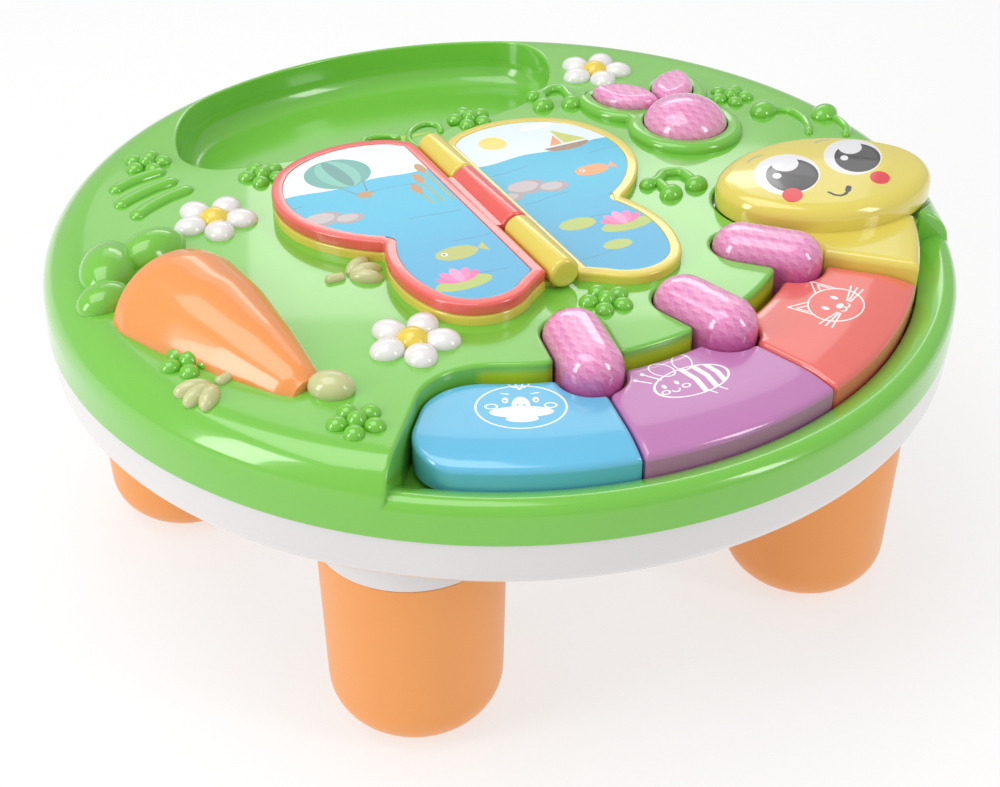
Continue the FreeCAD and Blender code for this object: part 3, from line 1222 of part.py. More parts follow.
def screw(name, x, y, bottom, length):
    """Pan-head screw seen as a head and a plain shank, pointing up."""
    head = column(name + "_head", x, y, bottom, bottom + S.screw_head_height, S.screw_head_radius)
    shank = column(name + "_shank", x, y, bottom + S.screw_head_height - 0.5, bottom + S.screw_head_height + length,
                     S.screw_radius)
    return fuse(name, [head, shank])


def shell_screws():
    screws = []
    for index, angle in enumerate(SHELL_SCREW_ANGLES):
        x, y = polar(S.shell_boss_circle, angle)
        bottom = SCREW_SHELF - S.screw_head_height
        screws.append(screw(f"shell_screw{index}", x, y, bottom, SEAM + 1.5 - SCREW_SHELF))
    return group("shell_screws", screws)


def board_screws():
    screws = []
    for index, angle in enumerate(BOARD_POST_ANGLES):
        x, y = polar(S.board_post_circle, angle)
        screws.append(screw(f"board_screw{index}", x, y, BOARD_UNDER - S.screw_head_height, 5))
    for index, angle in enumerate(LIGHT_POST_ANGLES):
        x, y = polar(S.light_post_circle, angle)
        bottom = LIGHT_BOARD_TOP - S.board_thickness - S.screw_head_height
        screws.append(screw(f"radish_screw{index}", S.radish_x + x, S.radish_y + y, bottom, 6))
    return group("board_screws", screws)


def switch_block(name, half_x, half_y, bottom, top, shift=0):
    return prism(name, box_corners(-half_x, -half_y, half_x, half_y), bottom, top, (shift, S.switch_y))


def switch_body():
    """Case of the slide switch on the base's floor."""
    half_x = S.switch_travel + S.switch_knob / 2 + 3
    half_y = S.switch_knob / 3 + 2.2
    case = switch_block("switch_case", half_x, half_y, BASE_FLOOR, BASE_FLOOR + 6)
    room = switch_block("switch_room", half_x - 1.2, half_y - 1.2, BASE_FLOOR - 1, BASE_FLOOR + 4.8)
    return cut("switch_body", case, [room])


def mode_switch():
    """Sliding knob in its middle position."""
    half = S.switch_knob / 2
    knob = switch_block("switch_knob", half, S.switch_knob / 3, UNDERSIDE - 1.2, BASE_FLOOR + 3)
    flange = switch_block("switch_flange", half + 1.2, S.switch_knob / 3 + 0.8, BASE_FLOOR + 0.2, BASE_FLOOR + 1.4)
    return fuse("mode_switch", [knob, flange])


PIECES = {"top_shell": top_shell(), "bottom_shell": bottom_shell()}
for row in LEG_ANGLES:
    PIECES[f"{row}_legs"] = legs(row)
start = S.first_seam_angle - S.key_span
for name, span in (("blue", S.key_span), ("purple", S.key_span), ("red", S.red_key_span)):
    PIECES[f"key_{name}"] = key(name, start, start + span)
    start = start + span
PIECES["key_head"] = head_key()
PIECES.update(dome_pads())
PIECES.update(book_pieces())
for maker in (light_lens, light_diffusers, radish_button, radish_diffuser, carrot, carrot_leaves, daisy_petals,
              daisy_centres, main_board, radish_board, leds, speaker, battery_contacts, battery_door, shell_screws,
              board_screws, switch_body, mode_switch):
    PIECES[maker.__name__] = maker()
PIECES["batteries"] = group("batteries", [cell(index) for index in range(3)])
PIECES["door_screw"] = screw("door_screw", 0, S.bay_y + BAY_HALF_Y + 3, UNDERSIDE - S.screw_head_height, 9)

doc.recompute()
failed = [item.Name for item in doc.Objects if "Invalid" in item.State or "Error" in item.State]
failed += [name for name, item in PIECES.items() if item.Shape.isNull() or not item.Shape.isValid()]
if failed:
    raise SystemExit("These features did not build: " + ", ".join(failed))
os.makedirs("parts", exist_ok=True)
for name, item in PIECES.items():
    item.Label = name
    item.Shape.exportStep(f"parts/{name}.step")
    print(name, len(item.Shape.Solids), round(item.Shape.Volume, 1))
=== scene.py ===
"""Looks of a toddler's musical activity table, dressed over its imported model.

Lengths in this file are millimetres and become metres when a mesh is made. The table stands on the floor
at the origin, +Z is up and the child sits at -Y. SEAM is the height at which the two housings meet, and
DECK is the flat top of the green one.
"""

from __future__ import annotations

import logging
import math
from dataclasses import dataclass, field
from enum import Enum
from typing import Callable, Iterator, Sequence

import bmesh
import bpy
import numpy as np
from mathutils import Matrix, Vector
from mathutils.geometry import delaunay_2d_cdt

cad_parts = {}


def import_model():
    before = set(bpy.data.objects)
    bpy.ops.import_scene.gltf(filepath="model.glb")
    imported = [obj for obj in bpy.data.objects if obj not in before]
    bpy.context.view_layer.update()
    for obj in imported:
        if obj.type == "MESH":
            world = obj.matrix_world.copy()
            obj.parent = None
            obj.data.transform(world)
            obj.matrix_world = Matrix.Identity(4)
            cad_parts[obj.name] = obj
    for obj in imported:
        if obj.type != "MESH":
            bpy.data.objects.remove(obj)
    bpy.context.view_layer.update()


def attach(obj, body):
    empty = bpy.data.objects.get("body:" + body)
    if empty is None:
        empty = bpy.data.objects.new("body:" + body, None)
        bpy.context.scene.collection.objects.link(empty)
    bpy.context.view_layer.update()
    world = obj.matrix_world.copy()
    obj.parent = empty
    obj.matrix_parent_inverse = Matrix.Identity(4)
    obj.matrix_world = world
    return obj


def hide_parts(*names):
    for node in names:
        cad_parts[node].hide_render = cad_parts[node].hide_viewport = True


LOG = logging.getLogger("activity_table")
MM = 0.001
SEAM = 131.5
DECK = 161.1
Points = np.ndarray
Surface = Callable[[Points, Points], Points]
Box = tuple[float, float, float, float]
Spot = tuple[float, float]
Mesh = bmesh.types.BMesh
Vert = bmesh.types.BMVert


def polar(radius: float, angle: float) -> tuple[float, float]:
    """Return the point at a radius and an angle in degrees from the front, towards +X."""
    turn = math.radians(angle)
    return radius * math.sin(turn), -radius * math.cos(turn)


def unit(turn: float) -> Spot:
    """Return the cosine and sine of an angle in degrees."""
    return math.cos(math.radians(turn)), math.sin(math.radians(turn))


def level(height: float) -> Surface:
    """Return a flat surface at a height."""
    return lambda x, y: np.full(np.shape(x), float(height))


# Plan regions
class Region:
    """Part of the plan, given by its signed distance, which is negative inside."""

    def distance(self, x: Points, y: Points) -> Points:
        """Return the signed distance of points."""
        raise NotImplementedError

    def slope(self, x: Points, y: Points, step: float = 0.02) -> tuple[Points, Points]:
        """Return the unit direction in which the distance grows."""
        gx = self.distance(x + step, y) - self.distance(x - step, y)
        gy = self.distance(x, y + step) - self.distance(x, y - step)
        size = np.maximum(np.hypot(gx, gy), 1e-9)
        return gx / size, gy / size


@dataclass
class Disc(Region):
    """Round region."""

    x: float
    y: float
    radius: float

    def distance(self, x: Points, y: Points) -> Points:
        """Return the signed distance of points."""
        return np.hypot(x - self.x, y - self.y) - self.radius


@dataclass
class Slot(Region):
    """Straight region with round ends about a centre, turned in degrees."""

    x: float
    y: float
    turn: float
    half_run: float
    radius: float

    def distance(self, x: Points, y: Points) -> Points:
        """Return the signed distance of points."""
        cosine, sine = unit(self.turn)
        along = (x - self.x) * cosine + (y - self.y) * sine
        across = (y - self.y) * cosine - (x - self.x) * sine
        return np.hypot(np.maximum(np.abs(along) - self.half_run, 0), across) - self.radius


@dataclass
class Sector(Region):
    """Part of a ring between two radii and two angles from the front, with rounded corners."""

    inner: float
    outer: float
    start: float
    end: float
    corner: float = 0.0

    def distance(self, x: Points, y: Points) -> Points:
        """Return the signed distance of points."""
        radius = np.hypot(x, y)
        middle = math.radians((self.start + self.end) / 2)
        half = math.radians((self.end - self.start) / 2)
        angle = np.arctan2(x, -y) - middle
        angle = np.abs((angle + math.pi) % (2 * math.pi) - math.pi)
        side = np.sin(np.clip(angle - half, -math.pi / 2, math.pi / 2)) * radius
        ring = np.abs(radius - (self.inner + self.outer) / 2) - (self.outer - self.inner) / 2
        return round_meet(ring, side, self.corner)


@dataclass
class Outline(Region):
    """Region inside a closed line of points."""

    points: Points

    def distance(self, x: Points, y: Points) -> Points:
        """Return the signed distance of points."""
        flat_x, flat_y = np.ravel(x), np.ravel(y)
        best = np.full(flat_x.shape, 1e18)
        inside = np.zeros(flat_x.shape, bool)
        start = self.points
        end = np.roll(self.points, -1, axis=0)
        for (ax, ay), (bx, by) in zip(start, end):
            run_x, run_y = bx - ax, by - ay
            size = max(run_x * run_x + run_y * run_y, 1e-12)
            part = np.clip(((flat_x - ax) * run_x + (flat_y - ay) * run_y) / size, 0, 1)
            best = np.minimum(best, (flat_x - ax - part * run_x) ** 2 + (flat_y - ay - part * run_y) ** 2)
            if (ay > by) != (ay < by):
                crosses = ((ay > flat_y) != (by > flat_y)) & (flat_x < run_x * (flat_y - ay) / (by - ay) + ax)
                inside ^= crosses
        away = np.sqrt(best)
        return np.where(inside, -away, away).reshape(np.shape(x))


@dataclass
class Grown(Region):
    """Region moved outwards by a width."""

    base: Region
    width: float

    def distance(self, x: Points, y: Points) -> Points:
        """Return the signed distance of points."""
        return self.base.distance(x, y) - self.width


@dataclass
class Common(Region):
    """Common part of two regions, with rounded corners where they meet."""

    first: Region
    second: Region
    corner: float = 0.0

    def distance(self, x: Points, y: Points) -> Points:
        """Return the signed distance of points."""
        return round_meet(self.first.distance(x, y), self.second.distance(x, y), self.corner)


class Joined(Common):
    """Two regions together."""

    def distance(self, x: Points, y: Points) -> Points:
        """Return the signed distance of points."""
        return -round_meet(-self.first.distance(x, y), -self.second.distance(x, y), self.corner)


class Trimmed(Common):
    """First region without the second."""

    def distance(self, x: Points, y: Points) -> Points:
        """Return the signed distance of points."""
        return round_meet(self.first.distance(x, y), -self.second.distance(x, y), self.corner)


def round_meet(first: Points, second: Points, corner: float) -> Points:
    """Return the distance to where two regions overlap, with its corners rounded.

    Args:
        first: Distances to one region.
        second: Distances to the other region.
        corner: Radius of the rounded corners.

    Returns:
        The distances to their common part.
    """
    if corner <= 0:
        return np.maximum(first, second)
    reach_a, reach_b = np.maximum(first + corner, 0), np.maximum(second + corner, 0)
    return np.minimum(np.maximum(first, second), -corner) + np.hypot(reach_a, reach_b)


def arc_outline(corners: Sequence[tuple[float, float, float | None]], spacing: float = 1.0) -> Outline:
    """Build an outline from corners and the arcs between them.

    Args:
        corners: Points x, y and the radius of the arc to the next one; positive bulges outwards and None
            is straight.
        spacing: Distance between the points put on an arc.

    Returns:
        The region inside the outline.
    """
    points: list[Spot] = []
    for index, (x, y, radius) in enumerate(corners):
        nx, ny = corners[(index + 1) % len(corners)][:2]
        points.append((x, y))
        if radius is None:
            continue
        chord_x, chord_y = nx - x, ny - y
        chord = math.hypot(chord_x, chord_y)
        reach = math.sqrt(max(radius * radius - chord * chord / 4, 0.0)) * (1 if radius > 0 else -1)
        centre_x = (x + nx) / 2 - chord_y / chord * reach
        centre_y = (y + ny) / 2 + chord_x / chord * reach
        start = math.atan2(y - centre_y, x - centre_x)
        end = math.atan2(ny - centre_y, nx - centre_x)
        sweep = (end - start) % (2 * math.pi) if radius > 0 else -((start - end) % (2 * math.pi))
        steps = max(2, int(abs(sweep * radius) / spacing))
        size = abs(radius)
        for step in range(1, steps):
            angle = start + sweep * step / steps
            points.append((centre_x + size * math.cos(angle), centre_y + size * math.sin(angle)))
    return Outline(np.array(points))


def rectangle(left: float, front: float, right: float, back: float) -> Outline:
    """Build a plain rectangle from its sides."""
    return arc_outline([(left, front, None), (right, front, None), (right, back, None), (left, back, None)])


def oval_outline(x: float, y: float, turn: float, length: float, width: float, end_radius: float) -> Outline:
    """Build an oval from four arcs.

    Args:
        x: Centre along X.
        y: Centre along Y.
        turn: Its turn in degrees.
        length: Its longer half axis.
        width: Its shorter half axis.
        end_radius: Radius of its two narrow ends.

    Returns:
        The region inside the oval.
    """
    along, across = length - end_radius, width - end_radius
    offset = (along * along - across * across) / (across * 2)
    reach = math.hypot(along, offset)
    side = width + offset
    corner_x, corner_y = along + end_radius * along / reach, end_radius * offset / reach
    oval = arc_outline([(corner_x, -corner_y, end_radius), (corner_x, corner_y, side),
                        (-corner_x, corner_y, end_radius), (-corner_x, -corner_y, side)])
    cosine, sine = unit(turn)
    spun = oval.points @ np.array([[cosine, sine], [-sine, cosine]])
    return Outline(spun + np.array([x, y]))


def trace(region: Region, box: Box, step: float = 3.0, spacing: float = 1.5) -> list[Points]:
    """Find the border lines of a region.

    Args:
        region: The region to trace.
        box: Lowest x, lowest y, highest x and highest y to search.
        step: Width of the search grid.
        spacing: Distance between the points of a line.

    Returns:
        Closed lines of points with the region on their left.
    """
    xs = np.arange(box[0], box[2] + step, step) + 0.0137
    ys = np.arange(box[1], box[3] + step, step) + 0.0071
    grid_x, grid_y = np.meshgrid(xs, ys, indexing="ij")
    value = region.distance(grid_x, grid_y)
    inside = value < 0
    links: dict[tuple[int, int, int], tuple[int, int, int]] = {}
    places: dict[tuple[int, int, int], tuple[float, float]] = {}

    def crossing(i: int, j: int, way: int) -> tuple[int, int, int]:
        """Return the key of the crossing on the grid edge from i, j along x or y."""
        k, m = (i + 1, j) if way == 0 else (i, j + 1)
        part = value[i, j] / (value[i, j] - value[k, m])
        places[(i, j, way)] = (xs[i] + (xs[k] - xs[i]) * part, ys[j] + (ys[m] - ys[j]) * part)
        return i, j, way

    count = inside[:-1, :-1].astype(int) + inside[1:, :-1] + inside[:-1, 1:] + inside[1:, 1:]
    for i, j in zip(*np.nonzero((count > 0) & (count < 4))):
        ring = [(i, j), (i + 1, j), (i + 1, j + 1), (i, j + 1)]
        edges = [(i, j, 0), (i + 1, j, 1), (i, j + 1, 0), (i, j, 1)]
        marks = [bool(inside[spot]) for spot in ring]
        leaves = [crossing(*edges[n]) for n in range(4) if marks[n] and not marks[(n + 1) % 4]]
        enters = [crossing(*edges[n]) for n in range(4) if not marks[n] and marks[(n + 1) % 4]]
        for start, end in zip(leaves, enters):
            links[start] = end
    lines = []
    while links:
        first, following = links.popitem()
        keys = [first]
        while following != first:
            keys.append(following)
            following = links.pop(following)
        lines.append(settle(region, np.array([places[key] for key in keys]), spacing))
    return lines


def settle(region: Region, line: Points, spacing: float) -> Points:
    """Space a closed line's points evenly and move them onto the region's border.

    Args:
        region: The region whose border is wanted.
        line: Points near that border.
        spacing: Distance between the new points.

    Returns:
        The settled points.
    """
    for _ in range(3):
        closed = np.vstack([line, line[:1]])
        lengths = np.concatenate([[0], np.cumsum(np.hypot(*np.diff(closed, axis=0).T))])
        count = max(8, int(lengths[-1] / spacing))
        places = np.linspace(0, lengths[-1], count, endpoint=False)
        line = np.column_stack([np.interp(places, lengths, closed[:, axis]) for axis in (0, 1)])
        for _ in range(3):
            x, y = line[:, 0], line[:, 1]
            gx, gy = region.slope(x, y)
            away = region.distance(x, y)
            line = np.column_stack([x - gx * away, y - gy * away])
    return line


# Meshes
INSET_STEP = 0.4
SAME_PLACE = 0.12


def add_object(name: str, data: bpy.types.ID) -> bpy.types.Object:
    """Return a new object of some data, linked to the scene."""
    thing = bpy.data.objects.new(name, data)
    bpy.context.scene.collection.objects.link(thing)
    return thing


def finish_mesh(name: str, mesh: Mesh, sharp: float = 32.0,
                outwards: bool = True) -> bpy.types.Object:
    """Turn a mesh in millimetres into a smooth-shaded object in metres.

    Args:
        name: Name of the new object.
        mesh: The mesh, which is freed.
        sharp: Angle in degrees past which an edge stays sharp.
        outwards: Whether to make the faces point outwards.

    Returns:
        The new object.
    """
    bmesh.ops.remove_doubles(mesh, verts=mesh.verts, dist=0.002)
    if outwards:
        bmesh.ops.recalc_face_normals(mesh, faces=mesh.faces)
    bmesh.ops.scale(mesh, vec=(MM, MM, MM), verts=mesh.verts)
    data = bpy.data.meshes.new(name)
    mesh.to_mesh(data)
    mesh.free()
    data.shade_smooth()
    data.set_sharp_from_angle(angle=math.radians(sharp))
    return add_object(name, data)


class Level(Enum):
    """What a border ring's height is counted from."""

    TOP = "top surface"
    UNDER = "lower surface"
    FLAT = "the floor"


@dataclass(frozen=True)
class Ring:
    """One ring of a slab's border: how far in from the edge, and its height from a level."""

    inset: float
    base: Level
    offset: float


def rounded_edge(radius: float, steps: int = 5, margin: float = 0.5) -> list[Ring]:
    """Round an upper edge.

    Args:
        radius: Radius of the rounding.
        steps: Number of faces across it.
        margin: Width of the ring that follows on the top surface.

    Returns:
        The rings from the side up to the top surface.
    """
    rings = []
    for step in range(steps + 1):
        angle = math.pi / 2 * step / steps
        rings.append(Ring(radius * (1 - math.cos(angle)), Level.TOP, radius * (math.sin(angle) - 1)))
    return rings + [Ring(radius + margin, Level.TOP, 0.0)]


def square_edge(margin: float) -> list[Ring]:
    """Return the rings of an upright side with margins under and over it."""
    return [Ring(margin, Level.UNDER, 0.0), Ring(0.0, Level.UNDER, 0.0), Ring(0.0, Level.TOP, 0.0),
            Ring(margin, Level.TOP, 0.0)]


def cap_edge(under: float, radius: float, steps: int, margin: float) -> list[Ring]:
    """Return the rings of an upright side with a rounded edge, from a margin under it."""
    return [Ring(under, Level.UNDER, 0.0), Ring(0.0, Level.UNDER, 0.0), *rounded_edge(radius, steps, margin)]


@dataclass
class Slab:
    """Solid over a plan region between a lower and an upper surface, with shaped borders.

    Attributes:
        region: The plan of the slab.
        box: Where to look for the plan's borders.
        top: The upper surface, or its height.
        under: The lower surface, or its height.
        rings: The border from the lower surface to the upper one; both ends have the same inset.
        cell: Distance between the points inside the plan.
        spacing: Distance between the points along the borders.
        search: Width of the grid on which the borders are looked for.
        borders: Gives each border line its own rings, where they differ.
    """

    region: Region
    box: Box
    top: Surface | float
    under: Surface | float
    rings: Sequence[Ring]
    cell: float = 4.0
    spacing: float = 1.4
    search: float = 2.5
    borders: Callable[[Points], Sequence[Ring]] | None = None

    def __post_init__(self) -> None:
        """Make a flat surface of a plain height."""
        self.top, self.under = (part if callable(part) else level(part) for part in (self.top, self.under))

    def add_to(self, mesh: Mesh) -> None:
        """Add the slab to a mesh."""
        lines = trace(self.region, self.box, self.search, self.spacing)
        last_rings = []
        for line in lines:
            rings = self.borders(line) if self.borders else self.rings
            plans = self.inset_lines(line, sorted({ring.inset for ring in rings}))
            columns = [self.ring_points(plans[ring.inset], ring) for ring in rings]
            verts = [self.ring_verts(mesh, column) for column in columns]
            for lower, upper in zip(verts, verts[1:]):
                for index in range(len(lower)):
                    following = (index + 1) % len(lower)
                    add_face(mesh, (lower[index], lower[following], upper[following], upper[index]))
            last_rings.append((columns[-1], verts[0], verts[-1], rings[-1].inset))
        self.fill(mesh, last_rings)

    def inset_lines(self, line: Points, insets: Sequence[float]) -> dict[float, Points]:
        """Move a border line inwards, step by step so that its corners don't cross.

        Args:
            line: The border line.
            insets: Distances to move by, the least first.

        Returns:
            The moved line for each inset.
        """
        plans = {}
        x, y, reached = line[:, 0].copy(), line[:, 1].copy(), 0.0
        for inset in insets:
            steps = max(1, math.ceil((inset - reached) / INSET_STEP)) if inset > 0 else 1
            for step in range(1, steps + 1):
                target = reached + (inset - reached) * step / steps
                for _ in range(2):
                    gx, gy = self.region.slope(x, y)
                    away = self.region.distance(x, y) + target
                    x, y = x - gx * away, y - gy * away
            reached = inset
            plans[inset] = np.column_stack([x, y])
        return plans

    def ring_points(self, plan: Points, ring: Ring) -> Points:
        """Return the points of one border ring."""
        x, y = plan[:, 0], plan[:, 1]
        if ring.base is Level.FLAT:
            return np.column_stack([x, y, np.full(len(x), ring.offset)])
        surface = self.top if ring.base is Level.TOP else self.under
        return np.column_stack([x, y, surface(x, y) + ring.offset])

    @staticmethod
    def ring_verts(mesh: Mesh, column: Points) -> list[Vert]:
        """Return a vertex for each point, shared by points that lie together."""
        verts: list[Vert] = []
        for point in column:
            near = verts and math.dist(verts[-1].co[:2], point[:2]) < SAME_PLACE
            verts.append(verts[-1] if near else mesh.verts.new(point))
        if math.dist(verts[-1].co[:2], verts[0].co[:2]) < SAME_PLACE:
            last = verts[-1]
            verts = [verts[0] if vert is last else vert for vert in verts]
        return verts

    def inner_points(self, inset: float) -> Points:
        """Return the points inside the plan, clear of its borders."""
        xs = np.arange(self.box[0], self.box[2], self.cell)
        ys = np.arange(self.box[1], self.box[3], self.cell * 0.866)
        grid_x, grid_y = np.meshgrid(xs, ys, indexing="ij")
        grid_x = grid_x + (np.arange(len(ys)) % 2)[None, :] * self.cell / 2
        keep = self.region.distance(grid_x, grid_y) < -(inset + self.cell * 0.55)
        return np.column_stack([grid_x[keep], grid_y[keep]])

    def fill(self, mesh: Mesh, ends: list[tuple[Points, list, list, float]]) -> None:
        """Close the slab with matching triangles above and below.

        Args:
            mesh: The mesh to add to.
            ends: For each border line its last points, its lowest and highest vertices and its inset.
        """
        flat: list[Spot] = []
        edges: list[tuple[int, int]] = []
        lower: list[Vert] = []
        upper: list[Vert] = []
        for points, under, over in (end[:3] for end in ends):
            kept = [index for index in range(len(points)) if over[index] is not over[index - 1]]
            start = len(flat)
            flat += [tuple(over[index].co[:2]) for index in kept]
            edges += [(start + index, start + (index + 1) % len(kept)) for index in range(len(kept))]
            lower += [under[index] for index in kept]
            upper += [over[index] for index in kept]
        border = np.array(flat)
        inset = max(end[3] for end in ends)
        inner = self.inner_points(inset)
        over = self.top(inner[:, 0], inner[:, 1])
        below = self.under(inner[:, 0], inner[:, 1])
        for (x, y), high, low in zip(inner, over, below):
            flat.append((x, y))
            upper.append(mesh.verts.new((x, y, high)))
            lower.append(mesh.verts.new((x, y, low)))
        result = delaunay_2d_cdt([Vector(point) for point in flat], edges, [], 0, 1e-7)
        places, triangles, origins = result[0], result[2], result[3]
        source = [group[0] if group else -1 for group in origins]
        corners = np.array([[places[index][:] for index in face] for face in triangles])
        centres = corners.mean(axis=1)
        inside = self.within(border, edges, centres)
        for face, wanted in zip(triangles, inside):
            keys = [source[index] for index in face]
            if wanted and min(keys) >= 0:
                add_face(mesh, [upper[key] for key in keys])
                add_face(mesh, [lower[key] for key in reversed(keys)])

    @staticmethod
    def within(border: Points, edges: list[tuple[int, int]], spots: Points) -> Points:
        """Return which spots lie inside the border lines."""
        x, y = spots[:, 0], spots[:, 1]
        inside = np.zeros(len(spots), bool)
        for first, second in edges:
            ax, ay, bx, by = *border[first], *border[second]
            if ay != by:
                inside ^= ((ay > y) != (by > y)) & (x < (bx - ax) * (y - ay) / (by - ay) + ax)
        return inside


def add_face(mesh: Mesh, verts: Sequence[Vert]) -> None:
    """Add a face, leaving out repeated corners and faces without area."""
    corners = list(dict.fromkeys(verts))
    if len(corners) > 2 and mesh.faces.get(corners) is None:
        mesh.faces.new(corners)


def lathe(mesh: Mesh, profile: Sequence[Spot], x: float = 0.0, y: float = 0.0,
          start: float = 0.0, end: float = 360.0, step: float = 3.0) -> None:
    """Add a turned solid to a mesh.

    Args:
        mesh: The mesh to add to.
        profile: Radius and height of a closed outline, or of one that starts and ends on the axis.
        x: Axis place along X.
        y: Axis place along Y.
        start: First angle in degrees from the front.
        end: Last angle; a full turn is closed on itself.
        step: Angle between sections.
    """
    whole = end - start > 359.9
    count = max(3, round((end - start) / step))
    sections = []
    for index in range(count if whole else count + 1):
        angle = start + (end - start) * index / count
        section = []
        for radius, height in profile:
            dx, dy = polar(radius, angle)
            section.append(mesh.verts.new((x + dx, y + dy, height)))
        sections.append(section)
    closed = profile[0][0] > 1e-6 or profile[-1][0] > 1e-6
    pairs = list(zip(sections, sections[1:] + ([sections[0]] if whole else [])))
    for first, second in pairs:
        for index in range(len(profile) if closed else len(profile) - 1):
            following = (index + 1) % len(profile)
            mesh.faces.new((first[index], second[index], second[following], first[following]))
    if not whole:
        mesh.faces.new(sections[0])
        mesh.faces.new(list(reversed(sections[-1])))


def arc_points(x: float, y: float, radius: float, start: float, end: float, steps: int) -> list[Spot]:
    """Return points of an arc about x, y, with angles in degrees."""
    angles = [math.radians(start + (end - start) * step / steps) for step in range(steps + 1)]
    return [(x + radius * math.cos(angle), y + radius * math.sin(angle)) for angle in angles]


# Materials
class Socket:
    """A shader value that is combined with the usual operators."""

    def __init__(self, graph: Graph, link: bpy.types.NodeSocket) -> None:
        """Wrap a node's output."""
        self.graph = graph
        self.link = link

    def _math(self, operation: str, *others: Socket | float) -> Socket:
        """Return the result of a Math node."""
        return self.graph.node("ShaderNodeMath", {"operation": operation}, [self, *others])

    def __add__(self, other: Socket | float) -> Socket:
        """Add."""
        return self._math("ADD", other)

    __radd__ = __add__

    def __sub__(self, other: Socket | float) -> Socket:
        """Subtract."""
        return self._math("SUBTRACT", other)

    def __rsub__(self, other: float) -> Socket:
        """Subtract from a number."""
        return self.graph.node("ShaderNodeMath", {"operation": "SUBTRACT"}, [other, self])

    def __mul__(self, other: Socket | float) -> Socket:
        """Multiply."""
        return self._math("MULTIPLY", other)

    __rmul__ = __mul__

    def __truediv__(self, other: Socket | float) -> Socket:
        """Divide."""
        return self._math("DIVIDE", other)

    def __neg__(self) -> Socket:
        """Change the sign."""
        return self * -1.0

    def __abs__(self) -> Socket:
        """Return the absolute value."""
        return self._math("ABSOLUTE")

    def least(self, other: Socket | float) -> Socket:
        """Return the smaller value."""
        return self._math("MINIMUM", other)

    def most(self, other: Socket | float) -> Socket:
        """Return the larger value."""
        return self._math("MAXIMUM", other)

    def power(self, other: float) -> Socket:
        """Raise to a power."""
        return self._math("POWER", other)

    def sine(self) -> Socket:
        """Return the sine."""
        return self._math("SINE")

    def floor(self) -> Socket:
        """Return the whole number below."""
        return self._math("FLOOR")

    def fraction(self) -> Socket:
        """Return the part after the whole number."""
        return self._math("FRACT")

    def clamp(self) -> Socket:
        """Hold between 0 and 1."""
        return self.most(0.0).least(1.0)

    def under(self, edge: float, soft: float = 0.12) -> Socket:
        """Return 1 where the value is under an edge and 0 above it, with a soft step."""
        return ((edge - self) / soft + 0.5).clamp()

    def over(self, edge: float, soft: float = 0.12) -> Socket:
        """Return 1 where the value is over an edge and 0 below it, with a soft step."""
        return (-self).under(-edge, soft)


Plane = tuple[Socket, Socket]
Colour = tuple[float, float, float]


def length_of(x: Socket, y: Socket) -> Socket:
    """Return the length of a plan vector."""
    return (x * x + y * y).power(0.5)


def disc_mask(plane: Plane, x: float, y: float, radius: float, wide: float = 1.0,
              tall: float = 1.0) -> Socket:
    """Return 1 inside an ellipse about x, y."""
    return (length_of((plane[0] - x) / wide, (plane[1] - y) / tall) - radius).under(0.0)


def ring_mask(plane: Plane, x: float, y: float, radius: float, line: float, wide: float = 1.0,
              tall: float = 1.0) -> Socket:
    """Return 1 on an elliptic line about x, y."""
    return abs(length_of((plane[0] - x) / wide, (plane[1] - y) / tall) - radius).under(line / 2)


def stroke_mask(plane: Plane, start: Spot, end: Spot, line: float) -> Socket:
    """Draw a straight line with round ends.

    Args:
        plane: Coordinates of the picture.
        start: Where the line starts.
        end: Where it ends.
        line: Its width.

    Returns:
        A mask of 1 on the line.
    """
    run_x, run_y = end[0] - start[0], end[1] - start[1]
    size = run_x * run_x + run_y * run_y
    away_x, away_y = plane[0] - start[0], plane[1] - start[1]
    part = ((away_x * run_x + away_y * run_y) / size).clamp()
    return length_of(away_x - part * run_x, away_y - part * run_y).under(line / 2)


def spun(plane: Plane, x: float, y: float, turn: float) -> Plane:
    """Return the plane's coordinates about x, y, turned in degrees."""
    cosine, sine = unit(turn)
    away_x, away_y = plane[0] - x, plane[1] - y
    return away_x * cosine + away_y * sine, away_y * cosine - away_x * sine


